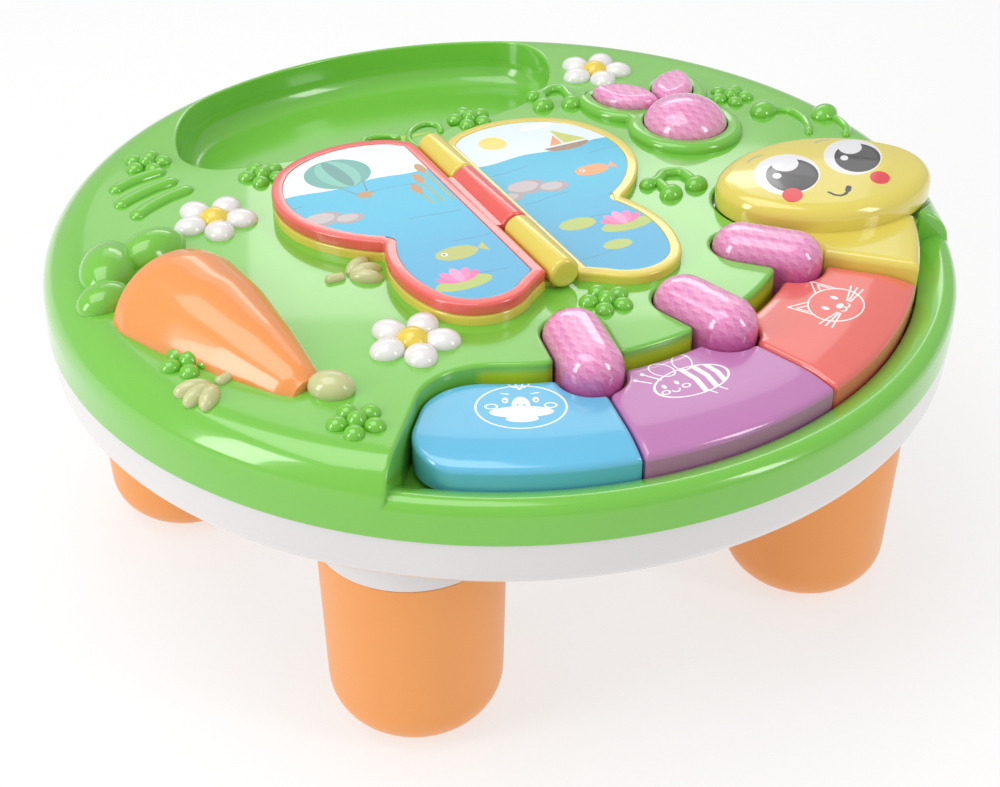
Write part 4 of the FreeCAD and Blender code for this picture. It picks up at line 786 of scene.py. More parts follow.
class Graph:
    """Node tree of one material."""

    def __init__(self, name: str) -> None:
        """Start an empty material."""
        self.material = bpy.data.materials.new(name)
        self.material.use_nodes = True
        self.tree = self.material.node_tree
        self.tree.nodes.clear()

    def node(self, kind: str, settings: dict[str, object], inputs: Sequence[object] | dict[str, object],
             output: int | str = 0) -> Socket:
        """Add a node.

        Args:
            kind: The node's type.
            settings: Its properties, set before the inputs.
            inputs: Values or sockets for its inputs, in order or by name.
            output: The output to return.

        Returns:
            The chosen output.
        """
        node = self.tree.nodes.new(kind)
        for key, value in settings.items():
            setattr(node, key, value)
        pairs = inputs.items() if isinstance(inputs, dict) else enumerate(inputs)
        for key, value in pairs:
            if isinstance(value, Socket):
                self.tree.links.new(value.link, node.inputs[key])
            elif value is not None:
                node.inputs[key].default_value = value
        return Socket(self, node.outputs[output])

    def position(self) -> tuple[Socket, Socket, Socket]:
        """Return the object coordinates in millimetres."""
        where = self.node("ShaderNodeTexCoord", {}, [], "Object")
        scaled = self.node("ShaderNodeVectorMath", {"operation": "SCALE"}, {0: where, "Scale": 1 / MM})
        parts = self.tree.nodes.new("ShaderNodeSeparateXYZ")
        self.tree.links.new(scaled.link, parts.inputs[0])
        return tuple(Socket(self, parts.outputs[index]) for index in range(3))

    def mix(self, factor: Socket | float, first: object, second: object) -> Socket:
        """Return a mix of two colours."""
        inputs = {0: factor, 6: paint(first), 7: paint(second)}
        return self.node("ShaderNodeMix", {"data_type": "RGBA"}, inputs, 2)

    def noise(self, scale: float, detail: float) -> Socket:
        """Return a noise value whose scale is counted in waves to a millimetre."""
        where = self.node("ShaderNodeTexCoord", {}, [], "Object")
        return self.node("ShaderNodeTexNoise", {}, {"Vector": where, "Scale": scale / MM, "Detail": detail})

    def bump(self, height: Socket, depth: float, normal: Socket | None = None) -> Socket:
        """Return a normal raised by a height of 0 to 1 times a depth in millimetres."""
        inputs = {"Height": height, "Strength": 1.0, "Distance": depth * MM}
        if normal is not None:
            inputs["Normal"] = normal
        return self.node("ShaderNodeBump", {}, inputs)

    def finish(self, shader: Socket) -> bpy.types.Material:
        """Close the tree with an output node."""
        out = self.tree.nodes.new("ShaderNodeOutputMaterial")
        self.tree.links.new(shader.link, out.inputs["Surface"])
        return self.material

    def principled(self, inputs: dict[str, object]) -> bpy.types.Material:
        """Close the tree with a principled shader of some inputs."""
        return self.finish(self.node("ShaderNodeBsdfPrincipled", {}, inputs))


def paint(colour: object) -> object:
    """Return a colour with alpha, or a socket as it is."""
    return colour if isinstance(colour, Socket) else (*colour, 1.0)


def hue(red: float, green: float, blue: float) -> Colour:
    """Return the scene-linear colour of a display colour given from 0 to 255."""

    def linear(value: float) -> float:
        """Return one linear channel."""
        value /= 255
        return value / 12.92 if value <= 0.04045 else ((value + 0.055) / 1.055) ** 2.4

    return linear(red), linear(green), linear(blue)


def shade(colour: Colour, share: float) -> Colour:
    """Return a colour darkened to a share of its light."""
    return tuple(channel * share for channel in colour)


@dataclass(frozen=True)
class Plastic:
    """Moulded plastic: its colour and gloss, and the depth in millimetres of its ripple and grain."""

    name: str
    colour: Colour
    roughness: float = 0.2
    coat: float = 0.6
    ripple: float = 0.02
    grain: float = 0.0
    soft: float = 0.0

    def base(self, graph: Graph) -> Socket:
        """Return the surface colour with its slight unevenness."""
        return graph.mix(graph.noise(0.02, 3.0), shade(self.colour, 0.93), self.colour)

    def normal(self, graph: Graph) -> Socket:
        """Return the surface normal with moulding ripple and fine grain."""
        normal = graph.bump(graph.noise(0.05, 1.0), self.ripple)
        if self.grain > 0:
            normal = graph.bump(graph.noise(1.6, 2.0), self.grain, normal)
        return normal

    def build(self) -> bpy.types.Material:
        """Make the material."""
        graph = Graph(self.name)
        wear = graph.noise(0.35, 4.0) * 0.08 + (self.roughness - 0.04)
        inputs = {"Base Color": self.base(graph), "Roughness": wear, "Coat Weight": self.coat,
                  "Coat Roughness": 0.05, "Normal": self.normal(graph), "IOR": 1.5}
        if self.soft > 0:
            inputs |= {"Subsurface Weight": self.soft, "Subsurface Scale": 0.004,
                       "Subsurface Radius": (1.0, 0.8, 0.6)}
        return graph.principled(inputs)


class ShellPlastic(Plastic):
    """Green housing plastic, with a painted lime glow of light on the walls of the key well."""

    def base(self, graph: Graph) -> Socket:
        """Return the surface colour with the painted lime glow on the walls."""
        x, y, z = graph.position()
        reach = length_of(x, y)
        # Painted light: a lime glow painted on a ring at the key well's inner wall, below 157.5 mm.
        wall = reach.under(134.2, 1.0) * reach.over(130.5, 1.0) * z.under(157.5, 3.0)
        return graph.mix(wall, super().base(graph), hue(184, 214, 40))


@dataclass(frozen=True)
class Metal:
    """Drawn or stamped metal."""

    name: str
    colour: Colour
    roughness: float = 0.3

    def build(self) -> bpy.types.Material:
        """Make the material."""
        graph = Graph(self.name)
        streak = graph.noise(1.2, 3.0)
        return graph.principled({
            "Base Color": graph.mix(streak, shade(self.colour, 0.8), self.colour), "Metallic": 1.0,
            "Roughness": streak * 0.12 + (self.roughness - 0.06), "Normal": graph.bump(streak, 0.01),
        })


@dataclass(frozen=True)
class Facets:
    """Clear tinted plastic with rows of small facets under a smooth surface, with painted facet shading,
    painted highlights along the facet edges and a patchy painted glow, darker at its foot.
    """

    name: str
    deep: Colour
    pale: Colour
    pitch: float = 5.2
    turn: float = 16.0

    def build(self) -> bpy.types.Material:
        """Make the material."""
        graph = Graph(self.name)
        x, y, z = graph.position()
        across, along = spun((x + z * 0.8, y + z * 0.6), 0.0, 0.0, self.turn)
        row = (along / self.pitch).floor()
        cell_x = (across / self.pitch + row * 0.5).fraction()
        cell_y = (along / self.pitch).fraction()
        rising, falling = cell_x - cell_y, cell_x + cell_y - 1.0
        # Painted light and shade: each facet gets one brightness as if lit from one side, ridge_highlight
        # paints highlights along the facet edges and glow paints a patchy glow.
        light = rising.under(0.0, 0.06) * 0.2 + falling.under(0.0, 0.06) * 0.14 + 0.3
        ridge_highlight = abs(rising).under(0.03, 0.06).most(abs(falling).under(0.03, 0.06))
        glow = graph.noise(0.06, 1.0) * 0.3
        inner = graph.mix((light + ridge_highlight * 0.22 + glow).clamp(), self.deep, self.pale)
        foot = ((167.5 - z) / 11.0).clamp()
        peak = abs(rising).least(abs(falling))
        return graph.principled({
            "Base Color": graph.mix(foot * 0.75, inner, shade(self.deep, 0.8)), "Roughness": 0.18,
            "Normal": graph.bump(peak, 0.05), "Coat Weight": 1.0, "Coat Roughness": 0.02, "Coat IOR": 1.55,
            "Subsurface Weight": 0.3, "Subsurface Scale": 0.004, "Subsurface Radius": (1.0, 0.4, 0.9),
        })


Layer = tuple[Socket, Colour]


class Picture(Plastic):
    """Plastic with a flat printed picture, placed in the table's plan above a height in millimetres."""

    above = 150.5

    def layers(self, plane: Plane) -> Iterator[Layer]:
        """Yield the picture's shapes and their colours, the lowest first."""
        yield from ()

    def base(self, graph: Graph) -> Socket:
        """Return the surface colour with the picture on it."""
        colour = super().base(graph)
        x, y, z = graph.position()
        printed = z.over(self.above, 1.0)
        for mask, tint in self.layers((x, y)):
            colour = graph.mix(mask * printed, colour, tint)
        return colour


def half_ring(plane: Plane, x: float, y: float, turn: float, radius: float, line: float) -> Socket:
    """Return 1 on a half circle that opens towards +Y before it is turned."""
    side = spun(plane, x, y, turn)
    return ring_mask(side, 0, 0, radius, line) * side[1].under(0.0)


def track_mask(plane: Plane, points: Sequence[Spot], line: float) -> Socket:
    """Return 1 on a line through points."""
    masks = [stroke_mask(plane, start, end, line) for start, end in zip(points, points[1:])]
    whole = masks[0]
    for mask in masks[1:]:
        whole = whole.most(mask)
    return whole


class FacePicture(Picture):
    """Smiling face with two large shining eyes, drawn along the picture's own upright."""

    above = 170.0
    upright = -26.7
    lean = -16.4

    def eye(self, plane: Plane, x: float, y: float, wide: float, tall: float) -> Iterator[Layer]:
        """Draw one eye: its white, its pupil with a paler upper half, and two highlights.

        Args:
            plane: Coordinates of the picture.
            x: Its middle along X.
            y: Its middle along Y.
            wide: Its half width.
            tall: Its half height.

        Yields:
            The shapes, the lowest first.
        """
        eye = spun(plane, x, y, self.upright)
        pale, grey = hue(238, 237, 240), hue(66, 64, 68)
        for across, up, radius, tint in (
                (0.0, 0.0, wide + 0.5, hue(246, 240, 214)), (0.0, 0.0, wide, pale),
                (0.15, -0.07, wide * 0.82, hue(26, 25, 27)), (0.15, -0.07, wide * 0.7, grey),
                (0.03, 0.52, wide * 0.43, pale), (-0.34, -0.12, wide * 0.14, pale)):
            place = spun(eye, across * wide, up * tall, self.lean)
            mask = disc_mask(place, 0, 0, radius, 1.0, tall / wide)
            yield (mask * place[1].over(1.0) if tint == grey else mask), tint

    def layers(self, plane: Plane) -> Iterator[Layer]:
        """Yield the face's shapes."""
        yield from self.eye(plane, 121.8, -53.7, 14.6, 20.0)
        yield from self.eye(plane, 160.1, -52.5, 13.0, 19.4)
        for x, y in ((112.4, -71.6), (158.1, -75.9)):
            cheek = spun(plane, x, y, self.upright + self.lean)
            yield disc_mask(cheek, 0, 0, 4.6, 1.0, 1.35), hue(228, 44, 52)
        smile = [(128.5, -77.1), (129.4, -80.1), (131.6, -81.9), (134.2, -81.7), (136.4, -80.4),
                 (138.4, -78.4)]
        for track, line in ((smile, 1.5), ([(137.4, -79.4), (139.6, -77.2)], 2.6)):
            yield track_mask(plane, track, line), hue(24, 22, 22)
        for brow in ([(112.7, -35.0), (115.0, -33.3), (118.0, -32.2), (123.3, -31.6)],
                     [(153.2, -32.3), (155.0, -31.4), (157.2, -31.1), (161.6, -32.1)]):
            yield track_mask(plane, brow, 0.9), hue(176, 172, 160)


class DuckPicture(Picture):
    """White line drawing of a duckling's head."""

    def layers(self, plane: Plane) -> Iterator[Layer]:
        """Yield the drawing's shapes."""
        flat = spun(plane, -62.0, -141.5, -24.0)
        white, line = hue(246, 250, 254), 0.75
        yield ring_mask(flat, 0, 0, 15.6, line, 1.14, 0.92), white
        for lean, tall in ((26, 4.4), (0, 5.4), (-26, 4.4)):
            yield ring_mask(spun(flat, -lean * 0.12, 16.6, lean), 0, 0, 2.0, line, 0.7, tall / 2.6), white
        for side in (-1, 1):
            yield disc_mask(flat, side * 6.0, 4.6, 1.6, 0.8, 1.25), white
            yield disc_mask(flat, side * 6.2, 4.3, 0.6), hue(100, 186, 228)
            yield ring_mask(flat, side * 11.6, 0.6, 2.0, line, 1.15, 0.8), white
            yield stroke_mask(flat, (side * 4.6, 8.8), (side * 7.4, 9.4), 0.7), white
        yield disc_mask(flat, 0, 0.8, 4.6, 0.8, 1.3), white
        yield disc_mask(flat, 0, -3.4, 12.6, 1.0, 0.3), white
        yield disc_mask(flat, 0, -8.0, 6.4, 1.0, 0.36), white
        for side in (-1, 1):
            yield disc_mask(flat, side * 1.3, 1.2, 0.5, 0.8, 1.3), hue(100, 186, 228)


class BeePicture(Picture):
    """White line drawing of a bumblebee."""

    def layers(self, plane: Plane) -> Iterator[Layer]:
        """Yield the drawing's shapes."""
        flat = spun(plane, 6.0, -155.0, 4.0)
        white, line = hue(252, 246, 252), 0.75
        inside = disc_mask(flat, 1.0, -1.0, 10.6, 1.6, 0.86)
        yield ring_mask(flat, 1.0, -1.0, 10.6, line, 1.6, 0.86), white
        for place in (3.2, 8.6, 13.6):
            band = abs((flat[0] - place) + abs(flat[1] + 1.0) * 0.16)
            yield band.under(1.25) * inside, white
        for x, y, turn in ((-5.0, 11.2, 30.0), (5.4, 11.8, -24.0)):
            yield ring_mask(spun(flat, x, y, turn), 0, 0, 5.6, line, 0.72, 1.0), white
        for x in (-11.0, -5.0):
            yield disc_mask(flat, x, 1.0, 1.1, 0.85, 1.3), white
        for x in (-12.6, -2.8):
            yield ring_mask(flat, x, -2.6, 1.5, line, 1.1, 0.8), white
        yield half_ring(flat, -8.0, -2.6, 0, 1.7, line), white
        for end in ((-18.4, 10.4), (-13.6, 12.6)):
            yield stroke_mask(flat, (end[0] + 4.4, 5.6), end, line), white
            yield disc_mask(flat, *end, 1.0), white
        for start in (3.0, 8.0):
            yield stroke_mask(flat, (start, -10.0), (start + 1.6, -13.0), 0.7), white


class CatPicture(Picture):
    """White line drawing of a kitten's head."""

    def layers(self, plane: Plane) -> Iterator[Layer]:
        """Yield the drawing's shapes."""
        flat = spun(plane, 93.0, -134.5, 32.0)
        white, line = hue(255, 246, 244), 0.75
        yield ring_mask(flat, 0, 0, 12.2, line, 1.14, 0.94), white
        for side in (-1, 1):
            ear = [(side * 12.6, 5.0), (side * 12.6, 16.8), (side * 4.0, 10.9)]
            yield track_mask(flat, ear, line), white
            yield track_mask(flat, [(side * 11.4, 8.0), (side * 11.4, 13.2), (side * 7.6, 10.2)], line), white
            yield disc_mask(flat, side * 5.0, 2.8, 1.5, 0.8, 1.25), white
            yield half_ring(flat, side * 1.8, -3.6, 0, 1.8, line), white
            for drop in (-2.4, 0.4, 3.2):
                root, tip = (side * 5.6, -3.4 - drop * 0.3), (side * 18.0, -2.2 - drop)
                yield stroke_mask(flat, root, tip, line), white
        yield disc_mask(flat, 0, -1.8, 1.9, 1.2, 0.8), white


class LakePicture(Picture):
    """Printed lake below a pale sky, with plain shapes on it."""

    def layers(self, plane: Plane) -> Iterator[Layer]:
        """Yield the water, its ripples and what floats there."""
        swell = plane[1] + (plane[0] * 0.16).sine() * 1.1
        yield swell.under(33.0), hue(0, 178, 214)
        yield plane[1].under(-22.0, 40.0), hue(36, 164, 208)
        for y in (22.0, -10.0, -36.0, -66.0):
            yield abs(swell - y).under(0.28) * (plane[0] * 0.11 + y).sine().under(-0.2), hue(20, 132, 176)
        yield from self.details(plane)

    def details(self, plane: Plane) -> Iterator[Layer]:
        """Yield a striped balloon, stones, reeds and a little fish."""
        balloon = spun(plane, -62.0, 46.0, 8.0)
        yield disc_mask(balloon, 0, 0, 16.0, 1.0, 0.92), hue(70, 160, 146)
        for wide, tint in ((0.62, hue(104, 186, 168)), (0.24, hue(60, 142, 132))):
            yield disc_mask(balloon, 0, 0, 15.2, wide, 0.94), tint
        for side in (-1, 1):
            yield stroke_mask(balloon, (side * 6.0, -13.4), (side * 2.6, -23.0), 0.5), hue(90, 96, 60)
        yield disc_mask(balloon, 0, -25.0, 4.0, 1.0, 0.8), hue(176, 132, 72)
        yield from pebbles(plane, ((-84.0, 8.0, 9.0), (-73.0, 3.6, 6.6), (-91.0, 2.0, 5.4)))
        for index, x in enumerate((-24.0, -29.0, -34.0)):
            tall = 34.0 - index * 9
            yield stroke_mask(plane, (x, 0.0), (x - 1.0, tall), 1.1), hue(150, 160, 52)
            yield disc_mask(plane, x - 1.0, tall, 2.3, 1.0, 2.2), hue(186, 128, 62)
        yield from fish(plane, -44.0, -46.0, 9.0, hue(176, 184, 72))
        yield from lily(plane, -52.0, -68.0)


class GardenPicture(LakePicture):
    """Other side of the lake: sun, sail, stones, leaves and fish."""

    def details(self, plane: Plane) -> Iterator[Layer]:
        """Yield the sun, a small sail, stones, a water plant and a fish."""
        yield disc_mask(plane, 22.0, 52.0, 7.0), hue(250, 218, 96)
        yield disc_mask(plane, 50.0, 60.0, 5.0, 1.8, 0.6), hue(255, 255, 255)
        boat = spun(plane, 54.0, 34.0, 0.0)
        sheet = boat[1].over(3.0)
        yield (boat[0] * 1.3 + boat[1]).under(19.0) * boat[0].over(0.0) * sheet, hue(196, 204, 84)
        yield (boat[1] - boat[0] * 1.5).under(15.0) * boat[0].under(-1.2) * sheet, hue(236, 150, 84)
        yield disc_mask(boat, 0, 1.4, 12.0, 1.0, 0.46) * boat[1].under(1.4), hue(150, 110, 70)
        yield from pebbles(plane, ((16.0, 4.0, 10.0), (28.0, -1.0, 7.4), (5.0, -2.0, 6.2)))
        yield from fish(plane, 52.0, 6.0, 8.0, hue(238, 150, 76))
        yield from lily(plane, 40.0, -46.0)
        for x, y, size in ((20.0, -38.0, 6.4), (27.0, -62.0, 5.0)):
            yield disc_mask(plane, x, y, size, 1.4, 0.8), hue(176, 194, 74)


class MirroredGardenPicture(GardenPicture):
    """Garden picture seen on the wing's other side."""

    def layers(self, plane: Plane) -> Iterator[Layer]:
        """Yield the shapes mirrored about the book's spine."""
        yield from super().layers((-plane[0] + 2 * BookSizes.axis_x, plane[1]))


def pebbles(plane: Plane, places: Sequence[tuple[float, float, float]]) -> Iterator[Layer]:
    """Yield grey stones at x, y with a half width."""
    for x, y, size in places:
        yield disc_mask(plane, x, y, size, 1.0, 0.68), hue(160, 148, 152)
        yield disc_mask(plane, x - size * 0.14, y + size * 0.12, size * 0.76, 1.0, 0.66), hue(190, 178, 180)


def fish(plane: Plane, x: float, y: float, size: float, tint: Colour) -> Iterator[Layer]:
    """Draw a plain fish that swims to the left.

    Args:
        plane: Coordinates of the picture.
        x: Its middle along X.
        y: Its middle along Y.
        size: About half its length.
        tint: Its colour.

    Yields:
        Its tail, body and eye.
    """
    tail = spun(plane, x + size * 1.1, y, 0.0)
    yield (abs(tail[1]) - tail[0]).under(0.0) * tail[0].under(size * 0.46), tint
    yield disc_mask(plane, x, y, size, 1.1, 0.62), tint
    yield disc_mask(plane, x - size * 0.6, y + size * 0.1, size * 0.16), hue(250, 250, 250)
    yield disc_mask(plane, x - size * 0.62, y + size * 0.1, size * 0.08), hue(30, 40, 44)


def lily(plane: Plane, x: float, y: float) -> Iterator[Layer]:
    """Yield a pink water flower on its floating leaf."""
    yield disc_mask(plane, x, y - 2.0, 13.0, 1.0, 0.4), hue(172, 192, 72)
    for turn, tint in ((-64, hue(228, 92, 160)), (64, hue(228, 92, 160)), (-34, hue(240, 116, 178)),
                       (34, hue(240, 116, 178)), (0, hue(250, 146, 196))):
        yield disc_mask(spun(plane, x, y, turn), 0, 5.2, 5.8, 0.42, 1.0), tint


# Plan shapes that several pieces share
class BookSizes:
    """Places of the butterfly book."""

    axis_x = -8.7
    axis_z = 168.6
    barrel = 6.9


@dataclass
class Side(Region):
    """Half plane to the left of the line from one point to another."""

    start: Spot
    end: Spot

    def distance(self, x: Points, y: Points) -> Points:
        """Return the signed distance of points."""
        run_x, run_y = self.end[0] - self.start[0], self.end[1] - self.start[1]
        size = math.hypot(run_x, run_y)
        return ((x - self.start[0]) * run_y - (y - self.start[1]) * run_x) / size


class TrayPlan(Region):
    """Storage tray: a shallow front arc, two short sides and a back along the rim."""

    def __init__(self) -> None:
        """Set up the four sides."""
        left, right = (-118.5, 98.0), (97.0, 105.0)
        front_radius, back_radius = 378.0, 196.5
        back_right, back_left = polar(back_radius, 149.0), polar(back_radius, 215.0)
        run_x, run_y = right[0] - left[0], right[1] - left[1]
        chord = math.hypot(run_x, run_y)
        reach = math.sqrt(front_radius**2 - chord**2 / 4)
        middle = ((left[0] + right[0]) / 2, (left[1] + right[1]) / 2)
        self.front = Disc(middle[0] - run_y / chord * reach, middle[1] + run_x / chord * reach, front_radius)
        self.left, self.right = Side(back_left, left), Side(right, back_right)
        self.back = Disc(0, 0, back_radius)

    def distance(self, x: Points, y: Points) -> Points:
        """Return the signed distance of points."""
        shape = round_meet(self.front.distance(x, y), self.left.distance(x, y), 20.0)
        shape = round_meet(shape, self.right.distance(x, y), 42.0)
        back = self.back.distance(x, y)
        right, left = round_meet(shape, back, 17.0), round_meet(shape, back, 32.0)
        return np.where(np.asarray(x) > 0, right, left)


KEY_SEAMS = (-38.2, -10.2, 17.8, 46.4, 61.2)
LENS_ANGLES = (-11.2, 16.6, 44.4)
WELL = Sector(133.0, 280.0, -38.4, 61.6, 26.0)
HEAD = oval_outline(141.0, -57.0, -9.0, 52.6, 37.8, 27.0)
RADISH = (120.0, 31.0)


def lens_plan(index: int, grow: float = 0.0) -> Slot:
    """Return the plan of a lens, widened by grow."""
    angle = LENS_ANGLES[index]
    x, y = polar(125.5, angle)
    return Slot(x, y, angle - 90, 11.5, 13.3 + grow)


def leaf_plan(side: int, grow: float = 0.0) -> Outline:
    """Return one pointed leaf of the radish, widened by grow."""
    half_length, half_width = 18.0 + grow, 10.5 + grow
    bow = (half_length**2 + half_width**2) / (2 * half_width)
    cosine, sine = unit(90 + side * 42)
    leaf = arc_outline([(-half_length, 0, bow), (half_length, 0, bow)])
    centre = np.array([RADISH[0] + 21 * cosine, RADISH[1] + 20 + 21 * sine])
    return Outline(leaf.points @ np.array([[cosine, sine], [-sine, cosine]]) + centre)


def radish_plan(grow: float, corner: float = 2.0) -> Region:
    """Return the radish's whole plan, widened by grow."""
    leaves = Joined(leaf_plan(-1), leaf_plan(1), corner)
    return Grown(Joined(Disc(RADISH[0], RADISH[1], 20.9), leaves, corner), grow)


def wing_plan(side: int, inset: float = 0.0) -> Region:
    """Return one butterfly wing; side is 1 on the right and -1 on the left."""
    corners = [(8.0, -76.0, None), (18.0, -83.0, 26.0), (60.5, -75.0, 62.0), (59.6, -23.7, 70.0),
               (84.0, 2.0, 52.0), (77.5, 60.0, 54.0), (25.0, 72.0, 30.0), (8.0, 60.0, None)]
    points = arc_outline(corners).points
    if side < 0:
        points = points[::-1] * np.array([-1.0, 1.0])
    return Grown(Outline(points + np.array([BookSizes.axis_x, 0.0])), -inset)


# Pieces
class Finish(Enum):
    """Finishes of the table's parts."""

    GREEN = ShellPlastic("green_gloss", hue(122, 200, 70), 0.2, 0.75, 0.04)
    BEAD_GREEN = Plastic("bead_green_gloss", hue(118, 200, 58), 0.14, 0.9, 0.02)
    WHITE = Plastic("white_gloss", hue(228, 225, 224), 0.25, 0.5, 0.03)
    ORANGE = Plastic("orange_satin", hue(247, 162, 84), 0.42, 0.1, 0.02, 0.02)
    BLUE = DuckPicture("blue_gloss", hue(104, 194, 233), 0.16, 0.8, 0.03)
    PURPLE = BeePicture("purple_gloss", hue(198, 128, 186), 0.16, 0.8, 0.03)
    RED = CatPicture("red_gloss", hue(241, 114, 104), 0.16, 0.8, 0.03)
    YELLOW = FacePicture("yellow_gloss", hue(234, 217, 98), 0.16, 0.8, 0.03)
    BOOK_RED = Plastic("page_red_gloss", hue(241, 100, 92), 0.18, 0.8, 0.02)
    BOOK_YELLOW = Plastic("plate_yellow_gloss", hue(234, 214, 92), 0.2, 0.7, 0.02)
    LAKE = LakePicture("lake_picture", hue(228, 242, 252), 0.3, 0.35, 0.0)
    GARDEN = GardenPicture("garden_picture", hue(228, 242, 252), 0.3, 0.35, 0.0)
    GARDEN_MIRROR = MirroredGardenPicture("garden_picture_mirrored", hue(228, 242, 252), 0.3, 0.35, 0.0)
    CARROT = Plastic("carrot_gloss", hue(250, 158, 86), 0.22, 0.6, 0.04, 0.0, 0.15)
    LEAF = Plastic("leaf_gloss", hue(122, 200, 66), 0.18, 0.7, 0.04)
    PETAL = Plastic("petal_gloss", hue(240, 238, 236), 0.2, 0.7, 0.02, 0.0, 0.1)
    DAISY = Plastic("daisy_yellow_gloss", hue(240, 212, 78), 0.22, 0.6, 0.02)
    PALE = Plastic("pale_green_gloss", hue(206, 208, 150), 0.25, 0.6, 0.02, 0.0, 0.1)
    MAGENTA = Facets("magenta_clear", hue(206, 72, 160), hue(252, 184, 220))
    BOARD = Plastic("circuit_board_green", hue(34, 104, 62), 0.35, 0.4, 0.02, 0.01)
    BLACK = Plastic("black_moulding", hue(34, 34, 36), 0.4, 0.2, 0.02, 0.02)
    RUBBER = Plastic("grey_rubber", hue(176, 178, 180), 0.6, 0.0, 0.03, 0.03)
    FROST = Plastic("frosted_pink", hue(222, 140, 206), 0.5, 0.1, 0.02, 0.02, 0.2)
    CELL = Plastic("cell_sleeve", hue(60, 84, 128), 0.3, 0.5, 0.01)
    STEEL = Metal("drawn_steel", hue(196, 196, 200), 0.3)


class Shop:
    """Keeps the materials that are already made."""

    made: dict[str, bpy.types.Material] = {}

    @classmethod
    def material(cls, finish: Finish) -> bpy.types.Material:
        """Return the material of a finish, made once."""
        if finish.name not in cls.made:
            cls.made[finish.name] = finish.value.build()
        return cls.made[finish.name]


def dress(thing: bpy.types.Object, finish: Finish, body: str, nodes: Sequence[str] = (),
          slot: str = "") -> None:
    """Give a piece its material, its body and the nodes that it stands for.

    Args:
        thing: The piece.
        finish: Its finish.
        body: The body that it rides on.
        nodes: Model nodes that it replaces.
        slot: The record's material slot of a piece that replaces nothing; not used.
    """
    thing.data.materials.append(Shop.material(finish))
    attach(thing, body)
    if nodes:
        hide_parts(*nodes)
    LOG.info("%s: %d faces on %s", thing.name, len(thing.data.polygons), body)


